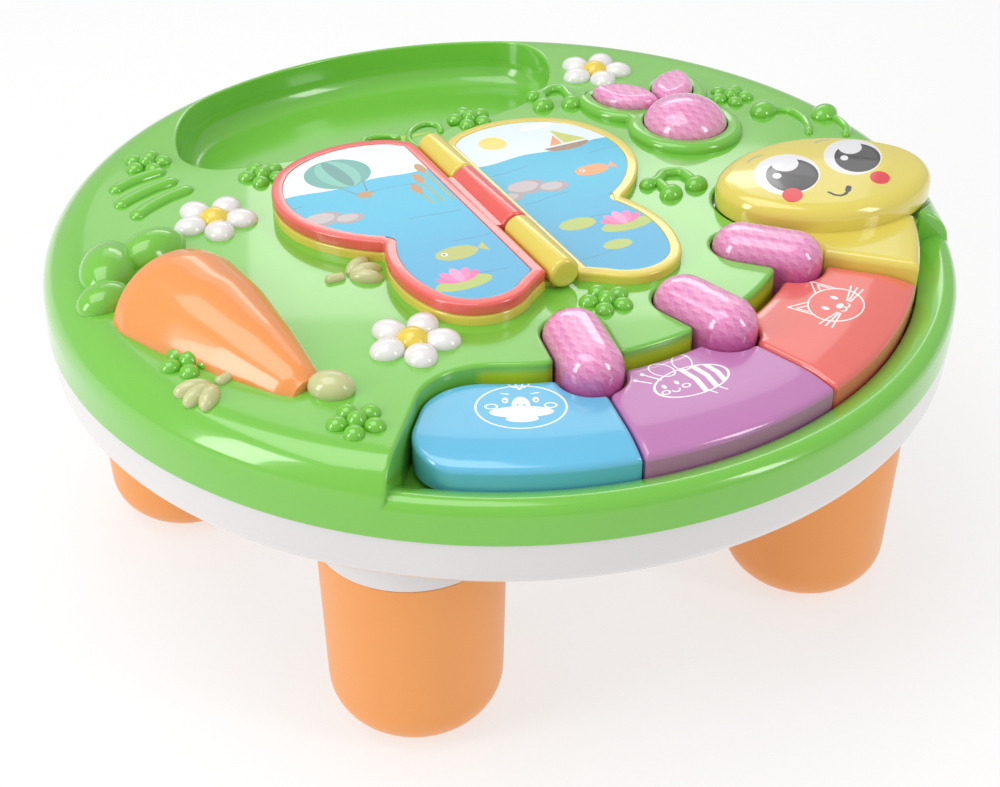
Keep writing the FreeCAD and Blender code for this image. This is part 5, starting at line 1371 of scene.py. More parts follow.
@dataclass
class GreenHousing:
    """Glossy top housing: deck, rolled rim, tray, key well, shelf and the collar round the radish."""

    radius: float = 209.5
    shoulder: float = 17.4
    edge: float = 1.6
    wall: float = 2.1
    thickness: float = 2.6
    tray_depth: float = 24.0
    tray_round: float = 12.0

    def height(self, x: Points, y: Points) -> Points:
        """Return the height of the deck and its rolled rim."""
        over = np.clip(np.hypot(x, y) - (self.radius - self.shoulder), 0, self.shoulder)
        return DECK - self.shoulder + np.sqrt(self.shoulder**2 - over**2)

    def lower(self, x: Points, y: Points) -> Points:
        """Return the height of the deck's underside."""
        return self.height(x, y) - self.thickness

    def opening(self) -> Region:
        """Return the plan of the key well, the lens pockets and the head's recess."""
        shape: Region = WELL
        for index in range(3):
            shape = Joined(shape, lens_plan(index, 0.6), 3.0)
        return Joined(shape, Grown(HEAD, 0.9), 2.5)

    def borders(self, line: Points) -> list[Ring]:
        """Return the border rings of one line of the deck."""
        is_tray = line[:, 1].min() > 70
        is_radish = line[:, 0].min() > 80 and not is_tray
        foot = DECK - self.tray_depth + self.tray_round if is_tray else SEAM
        if is_radish:
            foot = DECK - self.thickness
        lean = 0.0 if is_tray or is_radish else 0.5
        return [Ring(self.wall, Level.UNDER, 0.0), Ring(self.wall, Level.FLAT, foot),
                Ring(-lean, Level.FLAT, foot), *rounded_edge(self.edge, 5, 0.5)]

    def build(self) -> None:
        """Make the housing."""
        mesh = bmesh.new()
        box = (-212.0, -212.0, 212.0, 212.0)
        region = Disc(0, 0, self.radius)
        plan = Trimmed(Trimmed(Trimmed(region, self.opening(), 2.4), TrayPlan()), radish_plan(0.4))
        RimSlab(plan, box, self.height, self.lower, [], 5.0, 1.5, 3.0, self.borders).add_to(mesh)
        for part in (self.add_tray, self.add_shelf, self.add_recess, self.add_collar):
            part(mesh)
        dress(finish_mesh("green_housing", mesh), Finish.GREEN, "table", ["top_shell"])

    def add_tray(self, mesh: Mesh) -> None:
        """Add the tray's rounded floor."""
        floor, bend = DECK - self.tray_depth, self.tray_round
        under = floor - self.thickness
        rings = [Ring(bend + 1, Level.FLAT, under), Ring(-self.wall, Level.FLAT, under),
                 Ring(-self.wall, Level.FLAT, floor + bend)]
        for step in range(8):
            angle = math.pi / 2 * step / 7
            rings.append(Ring(bend * (1 - math.cos(angle)), Level.FLAT, floor + bend * (1 - math.sin(angle))))
        rings.append(Ring(bend + 1, Level.FLAT, floor))
        Slab(TrayPlan(), (-125, 80, 110, 200), floor, under, rings, 8.0, 1.5).add_to(mesh)

    def add_shelf(self, mesh: Mesh) -> None:
        """Add the well's floor and the shelf in front of the keys."""
        crest = SEAM + 17.2
        profile = [(131.5, SEAM + 3.4), (131.5, SEAM + 6), (190.6, SEAM + 6)]
        profile += arc_points(190.6, SEAM + 7.6, 1.6, -90, 0, 3)
        profile += arc_points(193.2, SEAM + 11.2, 1.0, 180, 115, 3)
        profile += arc_points(203.35, crest - 6.2, 6.2, 100, 0, 7)
        profile += [(210.0, SEAM), (207.4, SEAM), (207.4, SEAM + 8), (196.0, SEAM + 3.4)]
        lathe(mesh, profile, 0, 0, -39.4, 62.6, 1.0)

    def add_recess(self, mesh: Mesh) -> None:
        """Add the shallow floor under the smiling head."""
        floor = SEAM + 25.4
        taken: Region = WELL
        for index in range(3):
            taken = Joined(taken, lens_plan(index, 0.6))
        plan = Common(Trimmed(Grown(HEAD, 2.2), taken), Disc(0, 0, 207.0))

        def top(x: Points, y: Points) -> Points:
            """Return the height of the recess's floor, which stays below the rolled rim."""
            return np.minimum(floor, self.height(x, y) - 0.4)

        def under(x: Points, y: Points) -> Points:
            """Return the height of its underside."""
            return top(x, y) - 2.2

        Slab(plan, (80, -110, 212, 0), top, under, square_edge(0.8), 6.0, 1.5).add_to(mesh)

    def add_collar(self, mesh: Mesh) -> None:
        """Add the raised collar round the radish."""
        plan = Trimmed(radish_plan(8.0, 6.0), radish_plan(0.4))

        def borders(line: Points) -> list[Ring]:
            """Return the rings of the collar's outer or inner line."""
            outer = line[:, 0].max() - line[:, 0].min() > 60
            edge = rounded_edge(3.6, 6, 0.2) if outer else rounded_edge(1.0, 4, 2.8)
            return [Ring(3.8, Level.UNDER, 0.0), Ring(0.0, Level.UNDER, 0.0), *edge]

        box = (70, -10, 170, 110)
        Slab(plan, box, DECK + 4.6, DECK - 1.5, [], 2.2, 1.2, 2.0, borders).add_to(mesh)


@dataclass
class RimSlab(Slab):
    """Slab whose inner points follow circles where the rim rolls over."""

    flat_radius = 190.0
    roll_start = 192.1
    roll_radius = 17.4
    roll_turn = 6.6
    sides = 480

    def inner_points(self, inset: float) -> Points:
        """Return the points inside the plan, on a grid in the middle and on circles at the rim."""
        plain = super().inner_points(inset)
        plain = plain[np.hypot(plain[:, 0], plain[:, 1]) < self.flat_radius - 1.0]
        rings = []
        for step in range(10):
            rolled = self.roll_start + self.roll_radius * math.sin(math.radians(step * self.roll_turn))
            radius = rolled if step else self.flat_radius
            angles = (np.arange(self.sides) + (step % 2) / 2) / self.sides * 2 * math.pi
            rings.append(np.column_stack([radius * np.cos(angles), radius * np.sin(angles)]))
        extra = np.vstack(rings)
        keep = self.region.distance(extra[:, 0], extra[:, 1]) < -(inset + 0.7)
        return np.vstack([plain, extra[keep]])


def sweep(mesh: Mesh, path: Sequence[Sequence[float]], radii: float | Sequence[float],
          sides: int = 12, flat: float = 1.0) -> None:
    """Add a rod with closed ends along a path.

    Args:
        mesh: The mesh to add to.
        path: Points x, y, z of the rod's middle line.
        radii: One radius, or one for each point.
        sides: Points round a section.
        flat: Height of a section as part of its width.
    """
    points = [Vector(point) for point in path]
    sizes = [radii] * len(points) if isinstance(radii, (int, float)) else list(radii)
    rings = []
    for index, point in enumerate(points):
        ahead = points[min(index + 1, len(points) - 1)] - points[max(index - 1, 0)]
        side = ahead.cross(Vector((0, 0, 1)))
        side = side.normalized() if side.length > 1e-6 else Vector((1, 0, 0))
        rise = side.cross(ahead).normalized() * flat
        ring = []
        for step in range(sides):
            angle = 2 * math.pi * step / sides
            outwards = side * math.cos(angle) + rise * math.sin(angle)
            ring.append(mesh.verts.new(point + outwards * sizes[index]))
        rings.append(ring)
    for first, second in zip(rings, rings[1:]):
        for step in range(sides):
            following = (step + 1) % sides
            mesh.faces.new((first[step], first[following], second[following], second[step]))
    mesh.faces.new(rings[0])
    mesh.faces.new(list(reversed(rings[-1])))


def height_at(surface: Surface, x: float, y: float) -> float:
    """Return a surface's height at one point."""
    return float(surface(np.array([x]), np.array([y]))[0])


def curve_through(points: Sequence[Spot], surface: Surface, steps: int = 6) -> list[Vector]:
    """Draw a smooth path on a surface.

    Args:
        points: Plan points that the path goes through.
        surface: The surface that it lies on.
        steps: Parts between two points.

    Returns:
        The points of the path.
    """
    ends = [points[0], *points, points[-1]]
    path = []
    for a, b, c, d in zip(ends, ends[1:], ends[2:], ends[3:]):
        for step in range(steps):
            t = step / steps
            path.append([0.5 * (2 * b[k] + (c[k] - a[k]) * t + (2 * a[k] - 5 * b[k] + 4 * c[k] - d[k]) * t * t
                                + (3 * b[k] - a[k] - 3 * c[k] + d[k]) * t**3) for k in (0, 1)])
    path.append(points[-1])
    return [Vector((x, y, height_at(surface, x, y))) for x, y in path]


def bead(mesh: Mesh, x: float, y: float, z: float, size: Sequence[float], turn: float = 0.0) -> None:
    """Add an ellipsoid of three half axes about a point, turned in degrees."""
    turned = Matrix.Translation((x, y, z)) @ Matrix.Rotation(math.radians(turn), 4, "Z")
    spread = turned @ Matrix.Diagonal((*size, 1.0))
    bmesh.ops.create_uvsphere(mesh, u_segments=28, v_segments=16, radius=1.0, matrix=spread)


@dataclass
class WhiteBase:
    """White bottom housing: dished wall, underside with its openings, and the four leg collars."""

    radius: float = 209.3
    corner: float = 8.4
    underside: float = 109.0
    floor: float = 112.0

    def plan(self) -> Region:
        """Return the plan of the base with its openings."""
        plan: Region = Disc(0, 0, self.radius)
        for index in range(-2, 3):
            plan = Trimmed(plan, Slot(0, -62 + 7 * index, 0, 17 - abs(index) * 3, 1.2))
        return plan

    def borders(self, line: Points) -> list[Ring]:
        """Return the rings of the outer wall, or of an opening if the line lies well inside."""
        if np.hypot(line[:, 0], line[:, 1]).max() < 150:
            return [Ring(0.4, Level.UNDER, 0.0), Ring(0.0, Level.UNDER, 0.4), Ring(0.0, Level.TOP, 0.0),
                    Ring(0.4, Level.TOP, 0.0)]
        rings = [Ring(self.corner + 1, Level.UNDER, 0.0)]
        for step in range(9):
            angle = math.pi / 2 * step / 8
            inset, rise = self.corner * (1 - math.sin(angle)), self.corner * (1 - math.cos(angle))
            rings.append(Ring(inset, Level.UNDER, rise))
        return rings + [Ring(0.0, Level.FLAT, SEAM), Ring(2.4, Level.FLAT, SEAM), Ring(2.4, Level.TOP, 5.4),
                        Ring(self.corner + 1, Level.TOP, 0.0)]

    def build(self) -> None:
        """Make the base."""
        mesh = bmesh.new()
        box = (-212, -212, 212, 212)
        Slab(self.plan(), box, self.floor, self.underside, [], 9.0, 1.8, 3.0,
             self.borders).add_to(mesh)
        for x, y in Legs.centres():
            profile = [(0.0, 110.0), (40.0, 110.0), (40.0, 95.2), (39.3, 94.5), (0.0, 94.5)]
            lathe(mesh, profile, x, y, step=3)
        dress(finish_mesh("white_base", mesh), Finish.WHITE, "table", ["bottom_shell"])


@dataclass
class Legs:
    """Four cup-shaped legs with rounded feet."""

    top: float = 94.5
    foot: float = 38.0
    reach: float = 40.0
    bend: float = 21.0

    @staticmethod
    def centres() -> list[tuple[float, float]]:
        """Return the legs' axes, the front pair first."""
        return [polar(158.5, angle) for angle in (-40, 40, -113, 113)]

    def profile(self) -> list[tuple[float, float]]:
        """Return the side outline of a leg."""
        curve = arc_points(self.foot - self.bend, self.bend, self.bend, -90, 0, 12)
        return [(0.0, 0.0), *curve, (self.reach - 0.6, self.top - 0.4), (self.reach - 1.0, self.top - 0.05),
                (self.reach - 3.0, self.top - 0.05), (self.reach - 3.0, self.top + 7), (0.0, self.top + 7)]

    def build(self) -> None:
        """Make both pairs of legs."""
        centres = self.centres()
        for name, pair in (("front_legs", centres[:2]), ("rear_legs", centres[2:])):
            mesh = bmesh.new()
            for x, y in pair:
                lathe(mesh, self.profile(), x, y, step=2.5)
            dress(finish_mesh("orange_" + name, mesh), Finish.ORANGE, "table", [name])


@dataclass(frozen=True)
class KeyShape:
    """One piano-like key: its ends, its finish and its picture."""

    name: str
    start: float
    end: float
    finish: Finish
    left_round: float = 1.2


@dataclass
class Keys:
    """Blue, purple and red keys, crowned towards the front, notched round the lenses."""

    inner: float = 137.0
    outer: float = 191.5
    crest: float = 172.0
    fall: float = 3.2
    top: float = SEAM + 24.0
    skirt: float = SEAM + 9.6
    gap: float = 0.13

    def crown(self, x: Points, y: Points) -> Points:
        """Return the height of the keys' upper surface."""
        run = np.clip((np.hypot(x, y) - self.crest) / (self.outer - self.crest), 0, 1)
        return self.top - self.fall * run**2

    def plan(self, shape: KeyShape) -> Region:
        """Return a key's plan, with its own round on the left end and notches for the lenses."""
        left, right = shape.start + self.gap, shape.end - self.gap
        plan = Common(Sector(self.inner, self.outer, left, shape.end + 20, shape.left_round),
                      Sector(self.inner, self.outer, shape.start - 20, right, 1.2))
        for index in range(3):
            plan = Trimmed(plan, lens_plan(index, 0.9), 2.5)
        return plan

    def build(self) -> None:
        """Make the keys."""
        seams = KEY_SEAMS
        for shape in (KeyShape("blue", seams[0], seams[1], Finish.BLUE, 22.0),
                      KeyShape("purple", seams[1], seams[2], Finish.PURPLE),
                      KeyShape("red", seams[2], seams[3], Finish.RED)):
            mesh = bmesh.new()
            Slab(self.plan(shape), (-140, -200, 170, -60), self.crown, self.skirt,
                 cap_edge(5.0, 2.4, 6, 2.6), 4.0, 1.2, 2.0).add_to(mesh)
            name = "key_" + shape.name
            dress(finish_mesh(name + "_cap", mesh), shape.finish, name, [name])


@dataclass
class Head:
    """Yellow head on a short neck that continues the row of keys."""

    top: float = SEAM + 43.0
    foot: float = SEAM + 29.0

    def dome(self, x: Points, y: Points) -> Points:
        """Return the slightly domed face."""
        inward = np.clip(-HEAD.distance(x, y) / 30.0, 0, 1)
        return self.top - 1.6 * (1 - inward) ** 2

    def build(self) -> None:
        """Make the head and the neck."""
        mesh = bmesh.new()
        Slab(HEAD, (80, -110, 200, -5), self.dome, self.foot, cap_edge(9.0, 6.4, 10, 1.0), 4.0,
             1.4).add_to(mesh)
        row = Sector(Keys.inner, Keys.outer, KEY_SEAMS[3] + 0.4, KEY_SEAMS[4], 1.5)
        neck = Common(row, Trimmed(Disc(0, 0, 300), lens_plan(2, 0.9)))
        Slab(neck, (90, -150, 190, -50), SEAM + 30.0, Keys.skirt, cap_edge(4.6, 4.0, 6, 0.6), 4.0,
             1.3, 2.0).add_to(mesh)
        dress(finish_mesh("critter_head", mesh), Finish.YELLOW, "key_head", ["key_head"])


@dataclass
class Book:
    """Butterfly book: a fixed plate with two wings and one page that turns about the spine."""

    margin: float = 5.2
    recess: float = 0.7
    rim: float = 1.4
    paper: float = 0.35
    room: Box = (-112, -104, 96, 100)
    plate_top: float = DECK + 4.6
    page_bottom: float = DECK + 4.9
    page_top: float = DECK + 10.1

    def wing(self, mesh: Mesh, side: int, bottom: float, top: float, hollow: bool) -> None:
        """Add one wing with a rounded rim and a sunken floor for its picture.

        Args:
            mesh: The mesh to add to.
            side: 1 on the right and -1 on the left.
            bottom: Height of its underside.
            top: Height of its rim.
            hollow: Whether the underside has a picture too.
        """
        deep = self.margin + 1.0
        low = self.recess if hollow else 0.0
        rings = [Ring(deep, Level.UNDER, 0.0), Ring(self.margin, Level.UNDER, 0.0),
                 Ring(self.margin, Level.UNDER, -low), Ring(0.5, Level.UNDER, -low),
                 Ring(0.0, Level.UNDER, 0.5 - low)]
        for step in range(6):
            angle = math.pi / 2 * step / 5
            inset, rise = self.rim * (1 - math.cos(angle)), self.rim * (math.sin(angle) - 1)
            rings.append(Ring(inset, Level.TOP, self.recess + rise))
        rings += [Ring(self.margin - 0.3, Level.TOP, self.recess),
                  Ring(self.margin, Level.TOP, self.recess - 0.3), Ring(self.margin, Level.TOP, 0.0),
                  Ring(deep, Level.TOP, 0.0)]
        Slab(wing_plan(side), self.room, top - self.recess, bottom + low, rings, 6.0, 1.2,
             2.0).add_to(mesh)

    @staticmethod
    def barrel(mesh: Mesh, start: float, end: float, bend: float = 1.2) -> None:
        """Add one knuckle of the spine.

        Args:
            mesh: The mesh to add to.
            start: Its front end along Y.
            end: Its back end.
            bend: Radius of its rounded ends.
        """
        path, radii = [], []
        for step in range(9):
            angle = math.pi / 2 * step / 8
            path.append(start + bend * (1 - math.cos(angle)))
            radii.append(BookSizes.barrel - bend + bend * math.sin(angle))
        whole = [(BookSizes.axis_x, y, BookSizes.axis_z) for y in path]
        whole += [(BookSizes.axis_x, start + end - y, BookSizes.axis_z) for y in reversed(path)]
        sweep(mesh, whole, radii + radii[::-1], 40)

    def label(self, name: str, side: int, bottom: float, body: str, picture: Finish) -> None:
        """Add one printed sheet.

        Args:
            name: The piece's name.
            side: The wing it lies on, 1 on the right and -1 on the left.
            bottom: Height of its lower face.
            body: The body that it rides on.
            picture: Its finish.
        """
        mesh = bmesh.new()
        Slab(wing_plan(side, self.margin + 0.15), self.room, bottom + self.paper, bottom,
             square_edge(0.5), 8.0, 1.4, 2.0).add_to(mesh)
        dress(finish_mesh(name, mesh), picture, body, slot="picture_paper")

    def build(self) -> None:
        """Make the plate, the page and the four sheets."""
        mesh = bmesh.new()
        for side in (-1, 1):
            self.wing(mesh, side, DECK - 0.6, self.plate_top, False)
        self.barrel(mesh, -79.6, -33.8, 2.0)
        self.barrel(mesh, 19.8, 58.6, 2.0)
        x, rings = BookSizes.axis_x, square_edge(1.0)
        for start, end in ((-76.0, -34.0), (20.0, 55.0)):
            Slab(rectangle(x - 4, start, x + 4, end), (-20, -80, 10, 60), BookSizes.axis_z - 2,
                 DECK - 0.5, rings, 5.0, 2.0).add_to(mesh)
        Slab(rectangle(x - 9, -74, x + 9, 58), (-30, -80, 20, 64), DECK + 2.2, DECK - 0.5, rings,
             6.0, 2.0).add_to(mesh)
        dress(finish_mesh("butterfly_plate", mesh), Finish.BOOK_YELLOW, "table", ["book_base"])
        mesh = bmesh.new()
        self.wing(mesh, -1, self.page_bottom, self.page_top, True)
        self.barrel(mesh, -33.0, 19.0)
        Slab(rectangle(x - 9.5, -32.6, x - 3, 18.6), (-30, -40, 20, 30), self.page_top,
             self.page_bottom + 0.4, rings, 5.0, 2.0).add_to(mesh)
        dress(finish_mesh("butterfly_page", mesh), Finish.BOOK_RED, "page", ["book_page"])
        page, plate = self.page_top - self.recess, self.plate_top - self.recess
        self.label("page_front_picture", -1, page, "page", Finish.LAKE)
        self.label("page_back_picture", -1, self.page_bottom + self.recess - self.paper, "page",
                   Finish.GARDEN_MIRROR)
        self.label("plate_left_picture", -1, plate, "table", Finish.GARDEN_MIRROR)
        self.label("plate_right_picture", 1, plate, "table", Finish.GARDEN)


@dataclass
class Lenses:
    """Three clear domes over the lamps, joined behind the keys."""

    foot: float = SEAM + 6.0
    top: float = SEAM + 38.5

    def build(self) -> None:
        """Make the domes."""
        mesh = bmesh.new()
        for index in range(3):
            plan = lens_plan(index)

            def dome(x: Points, y: Points, plan: Slot = plan) -> Points:
                """Return the dome's height."""
                inward = np.clip(-plan.distance(x, y) / plan.radius, 0, 1)
                return self.top - 2.2 * (1 - inward) ** 2

            Slab(plan, (-60, -170, 150, -50), dome, self.foot, cap_edge(9.0, 8.2, 10, 0.8), 2.2, 1.0,
                 2.0).add_to(mesh)
        dress(finish_mesh("magenta_lenses", mesh), Finish.MAGENTA, "table", ["light_lens"])


@dataclass
class Radish:
    """Clear radish button: a domed root and two leaves."""

    foot: float = SEAM + 29.6
    brim: float = DECK + 3.4
    height: float = 13.7
    radius: float = 20.9

    def build(self) -> None:
        """Make the button."""
        mesh = bmesh.new()
        turns = [math.radians(step * 7.5) for step in range(12)]
        arch = [(self.radius * math.cos(turn), self.brim + self.height * math.sin(turn)) for turn in turns]
        profile = [(0.0, self.foot), (self.radius, self.foot), *arch, (0.0, self.brim + self.height)]
        lathe(mesh, profile, *RADISH, step=4)
        for side in (-1, 1):
            Slab(leaf_plan(side), (70, 10, 170, 110), self.brim + 6.5, self.foot,
                 cap_edge(5.0, 4.4, 8, 0.4), 2.5, 1.0, 2.0).add_to(mesh)
        dress(finish_mesh("radish_shell", mesh), Finish.MAGENTA, "radish", ["radish_button"])


@dataclass
class Carrot:
    """Carrot lying on the deck, thick at its crown and cut off by the deck."""

    crown: tuple[float, float, float] = (-164.3, 2.0, 150.1)
    turn: float = -74.2
    tilt: float = 4.0
    length: float = 108.0
    radius: float = 33.0

    STATIONS = ((0.0, 0.0), (0.012, 0.33), (0.04, 0.6), (0.1, 0.86), (0.2, 1.0), (0.42, 0.88), (0.7, 0.62),
                (0.93, 0.36), (0.975, 0.3), (1.0, 0.2))
    SIDES = 32

    def build(self) -> None:
        """Make the root and its leaves."""
        mesh = bmesh.new()
        heading, climb = math.radians(self.turn), math.radians(self.tilt)
        level_run = math.cos(climb)
        along = Vector((math.cos(heading) * level_run, math.sin(heading) * level_run, math.sin(climb)))
        across = Vector((-math.sin(heading), math.cos(heading), 0.0))
        above = along.cross(across)
        above = above if above.z > 0 else -above
        places = np.array([0.5 - 0.5 * math.cos(math.pi * step / 48) for step in range(49)])
        sections = []
        for part, radius in zip(places, self.radii(places)):
            centre = Vector(self.crown) + along * self.length * float(part)
            dip = (DECK - 0.6 - centre.z) / max(radius, 1e-6)
            if dip >= 0.999:
                continue
            low = math.asin(max(-0.95, dip))
            section = []
            for step in range(self.SIDES + 1):
                angle = low + (math.pi - 2 * low) * step / self.SIDES
                outwards = across * math.cos(angle) + above * math.sin(angle)
                section.append(mesh.verts.new(centre + outwards * radius))
            sections.append(section)
        for first, second in zip(sections, sections[1:]):
            for step in range(self.SIDES):
                mesh.faces.new((first[step], first[step + 1], second[step + 1], second[step]))
            mesh.faces.new((first[0], second[0], second[-1], first[-1]))
        mesh.faces.new(sections[0])
        mesh.faces.new(list(reversed(sections[-1])))
        dress(finish_mesh("carrot_root", mesh, 60), Finish.CARROT, "table", ["carrot"])
        self.add_leaves()

    def radii(self, places: Points) -> Points:
        """Work out the root's radius, round at the crown and eased between the stations after it.

        Args:
            places: Parts of the length.

        Returns:
            The radius at each of them.
        """
        parts = np.linspace(0, 1, 401)
        raw = np.interp(parts, *zip(*self.STATIONS)) * self.radius
        eased = np.convolve(np.pad(raw, 12, mode="edge"), np.ones(25) / 25, "valid")
        crown = np.sqrt(np.clip(1 - (1 - np.clip(places / 0.2, 0, 1)) ** 2, 0, 1)) * self.radius
        return np.where(places < 0.16, np.minimum(crown, self.radius), np.interp(places, parts, eased))

    @staticmethod
    def add_leaves() -> None:
        """Add three plump leaves behind the crown."""
        mesh = bmesh.new()
        for x, y, size, turn in ((-187, -1, (13.0, 10.0, 8.5), 20), (-179, 24, (20.0, 12.5, 10.5), 66),
                                 (-157, 30, (17.0, 11.5, 11.0), 22)):
            bead(mesh, x, y, DECK - 0.5, size, turn)
        dress(finish_mesh("carrot_sprigs", mesh, 60), Finish.LEAF, "table", ["carrot_leaves"])


class FlowerTree:
    """Geometry node group that puts a flower of rounded beads on every point."""

    INPUTS = (("Petals", "Int", 5), ("Reach", "Float", 0.01), ("Petal Length", "Float", 0.005),
              ("Petal Width", "Float", 0.004), ("Petal Height", "Float", 0.003),
              ("Middle Width", "Float", 0.004), ("Middle Height", "Float", 0.004), ("Phase", "Float", 0.0),
              ("Spin", "Float", 0.0), ("Seed", "Int", 7), ("Finish", "Material", None))

    def __init__(self) -> None:
        """Start the group with its named inputs."""
        self.group = bpy.data.node_groups.new("bead_flower", "GeometryNodeTree")
        face = self.group.interface
        face.new_socket("Geometry", in_out="INPUT", socket_type="NodeSocketGeometry")
        for label, kind, value in self.INPUTS:
            item = face.new_socket(label, in_out="INPUT", socket_type="NodeSocket" + kind)
            if value is not None:
                item.default_value = value
        face.new_socket("Geometry", in_out="OUTPUT", socket_type="NodeSocketGeometry")
        self.entry = self.group.nodes.new("NodeGroupInput")

    def add(self, kind: str, inputs: dict[str | int, object], settings: dict[str, object] | None = None,
            output: str | int = 0) -> bpy.types.NodeSocket:
        """Add a node with its settings and inputs, and return one output."""
        node = self.group.nodes.new(kind)
        for key, value in (settings or {}).items():
            setattr(node, key, value)
        for key, value in inputs.items():
            for source in value if isinstance(value, list) else [value]:
                if isinstance(source, bpy.types.NodeSocket):
                    self.group.links.new(source, node.inputs[key])
                else:
                    node.inputs[key].default_value = source
        return node.outputs[output]

    def ball(self, width: str, depth: str, height: str) -> bpy.types.NodeSocket:
        """Return a smooth ellipsoid whose half axes are named inputs."""
        sphere = self.add("GeometryNodeMeshUVSphere", {"Segments": 28, "Rings": 16, "Radius": 1.0})
        outputs = self.entry.outputs
        size = self.add("ShaderNodeCombineXYZ", {0: outputs[width], 1: outputs[depth], 2: outputs[height]})
        return self.add("GeometryNodeTransform", {"Geometry": sphere, "Scale": size})

    def build(self) -> bpy.types.NodeTree:
        """Return the finished group."""
        entry = self.entry.outputs
        circle = self.add("GeometryNodeMeshCircle", {"Vertices": entry["Petals"], "Radius": entry["Reach"]})
        index = self.add("GeometryNodeInputIndex", {})
        share = self.add("ShaderNodeMath", {0: index, 1: entry["Petals"]}, {"operation": "DIVIDE"})
        angle = self.add("ShaderNodeMath", {0: share, 1: 2 * math.pi}, {"operation": "MULTIPLY"})
        facing = self.add("ShaderNodeCombineXYZ", {2: angle})
        petal = self.ball("Petal Length", "Petal Width", "Petal Height")
        petals = self.add("GeometryNodeInstanceOnPoints", {"Points": circle, "Instance": petal,
                                                           "Rotation": facing})
        middle = self.ball("Middle Width", "Middle Width", "Middle Height")
        flower = self.add("GeometryNodeJoinGeometry", {"Geometry": [petals, middle]})
        start = self.add("ShaderNodeCombineXYZ", {2: entry["Phase"]})
        flower = self.add("GeometryNodeTransform", {"Geometry": flower, "Rotation": start})
        most = self.add("ShaderNodeCombineXYZ", {2: entry["Spin"]})
        spin = self.add("FunctionNodeRandomValue", {0: (0.0, 0.0, 0.0), 1: most, "Seed": entry["Seed"]},
                        {"data_type": "FLOAT_VECTOR"})
        placed = self.add("GeometryNodeInstanceOnPoints", {"Points": entry["Geometry"], "Instance": flower,
                                                           "Rotation": spin})
        real = self.add("GeometryNodeRealizeInstances", {"Geometry": placed})
        smooth = self.add("GeometryNodeSetShadeSmooth", {"Geometry": real})
        dyed = self.add("GeometryNodeSetMaterial", {"Geometry": smooth, "Material": entry["Finish"]})
        leave = self.group.nodes.new("NodeGroupOutput")
        self.group.links.new(dyed, leave.inputs[0])
        return self.group


@dataclass
class Flowers:
    """Daisies and small bead flowers, set out by geometry nodes."""

    daisies: tuple[Spot, ...] = ((-123, 46), (-84, -88), (114, 113))
    beads: tuple[Spot, ...] = ((-134, 115), (-88, 78), (28, 90), (-170, -62), (-126, -130), (2, -96),
                               (162, 53))

    @staticmethod
    def scatter(group: bpy.types.NodeTree, name: str, places: Sequence[Spot], height: float,
                sizes: dict[str, float | int], finish: Finish) -> bpy.types.Object:
        """Return a plain mesh of flowers.

        Args:
            group: The flower group.
            name: The piece's name.
            places: Plan points in millimetres.
            height: Height of the flowers' middles in millimetres.
            sizes: Inputs of the group by name, lengths in metres.
            finish: The finish of the beads.

        Returns:
            The mesh object.
        """
        points = bpy.data.meshes.new(name + "_points")
        points.from_pydata([(x * MM, y * MM, height * MM) for x, y in places], [], [])
        source = add_object(name + "_source", points)
        modifier = source.modifiers.new("flowers", "NODES")
        modifier.node_group = group
        names = {item.name: item.identifier for item in group.interface.items_tree
                 if item.item_type == "SOCKET" and item.in_out == "INPUT"}
        for key, value in sizes.items():
            modifier[names[key]] = value
        modifier[names["Finish"]] = Shop.material(finish)
        bpy.context.view_layer.update()
        shape = source.evaluated_get(bpy.context.evaluated_depsgraph_get())
        mesh = bpy.data.meshes.new_from_object(shape)
        bpy.data.objects.remove(source)
        mesh.materials.clear()
        return add_object(name, mesh)

    def build(self) -> None:
        """Make the flowers."""
        group = FlowerTree().build()
        phase = math.radians(46)
        petals = {"Petals": 5, "Reach": 0.0122, "Petal Length": 0.0078, "Petal Width": 0.0069,
                  "Petal Height": 0.0052, "Middle Width": 0.0062, "Middle Height": 0.002, "Phase": phase,
                  "Spin": 0.0, "Seed": 3}
        eyes = petals | {"Petals": 6, "Reach": 0.0012, "Petal Length": 0.0058, "Petal Width": 0.0058,
                         "Petal Height": 0.0052, "Middle Width": 0.0066, "Middle Height": 0.0058}
        small = petals | {"Petals": 5, "Reach": 0.0076, "Petal Length": 0.0044, "Petal Width": 0.0042,
                          "Petal Height": 0.0036, "Middle Width": 0.0042, "Middle Height": 0.005, "Spin": 1.2}
        for name, places, height, sizes, finish, nodes, slot in (
                ("daisy_petal_beads", self.daisies, DECK, petals, Finish.PETAL, ["daisy_petals"], ""),
                ("daisy_middle_beads", self.daisies, DECK + 0.6, eyes, Finish.DAISY, ["daisy_centres"], ""),
                ("green_bead_flowers", self.beads, DECK, small, Finish.BEAD_GREEN, [], "green_shell")):
            piece = self.scatter(group, name, places, height, sizes, finish)
            dress(piece, finish, "table", nodes, slot)


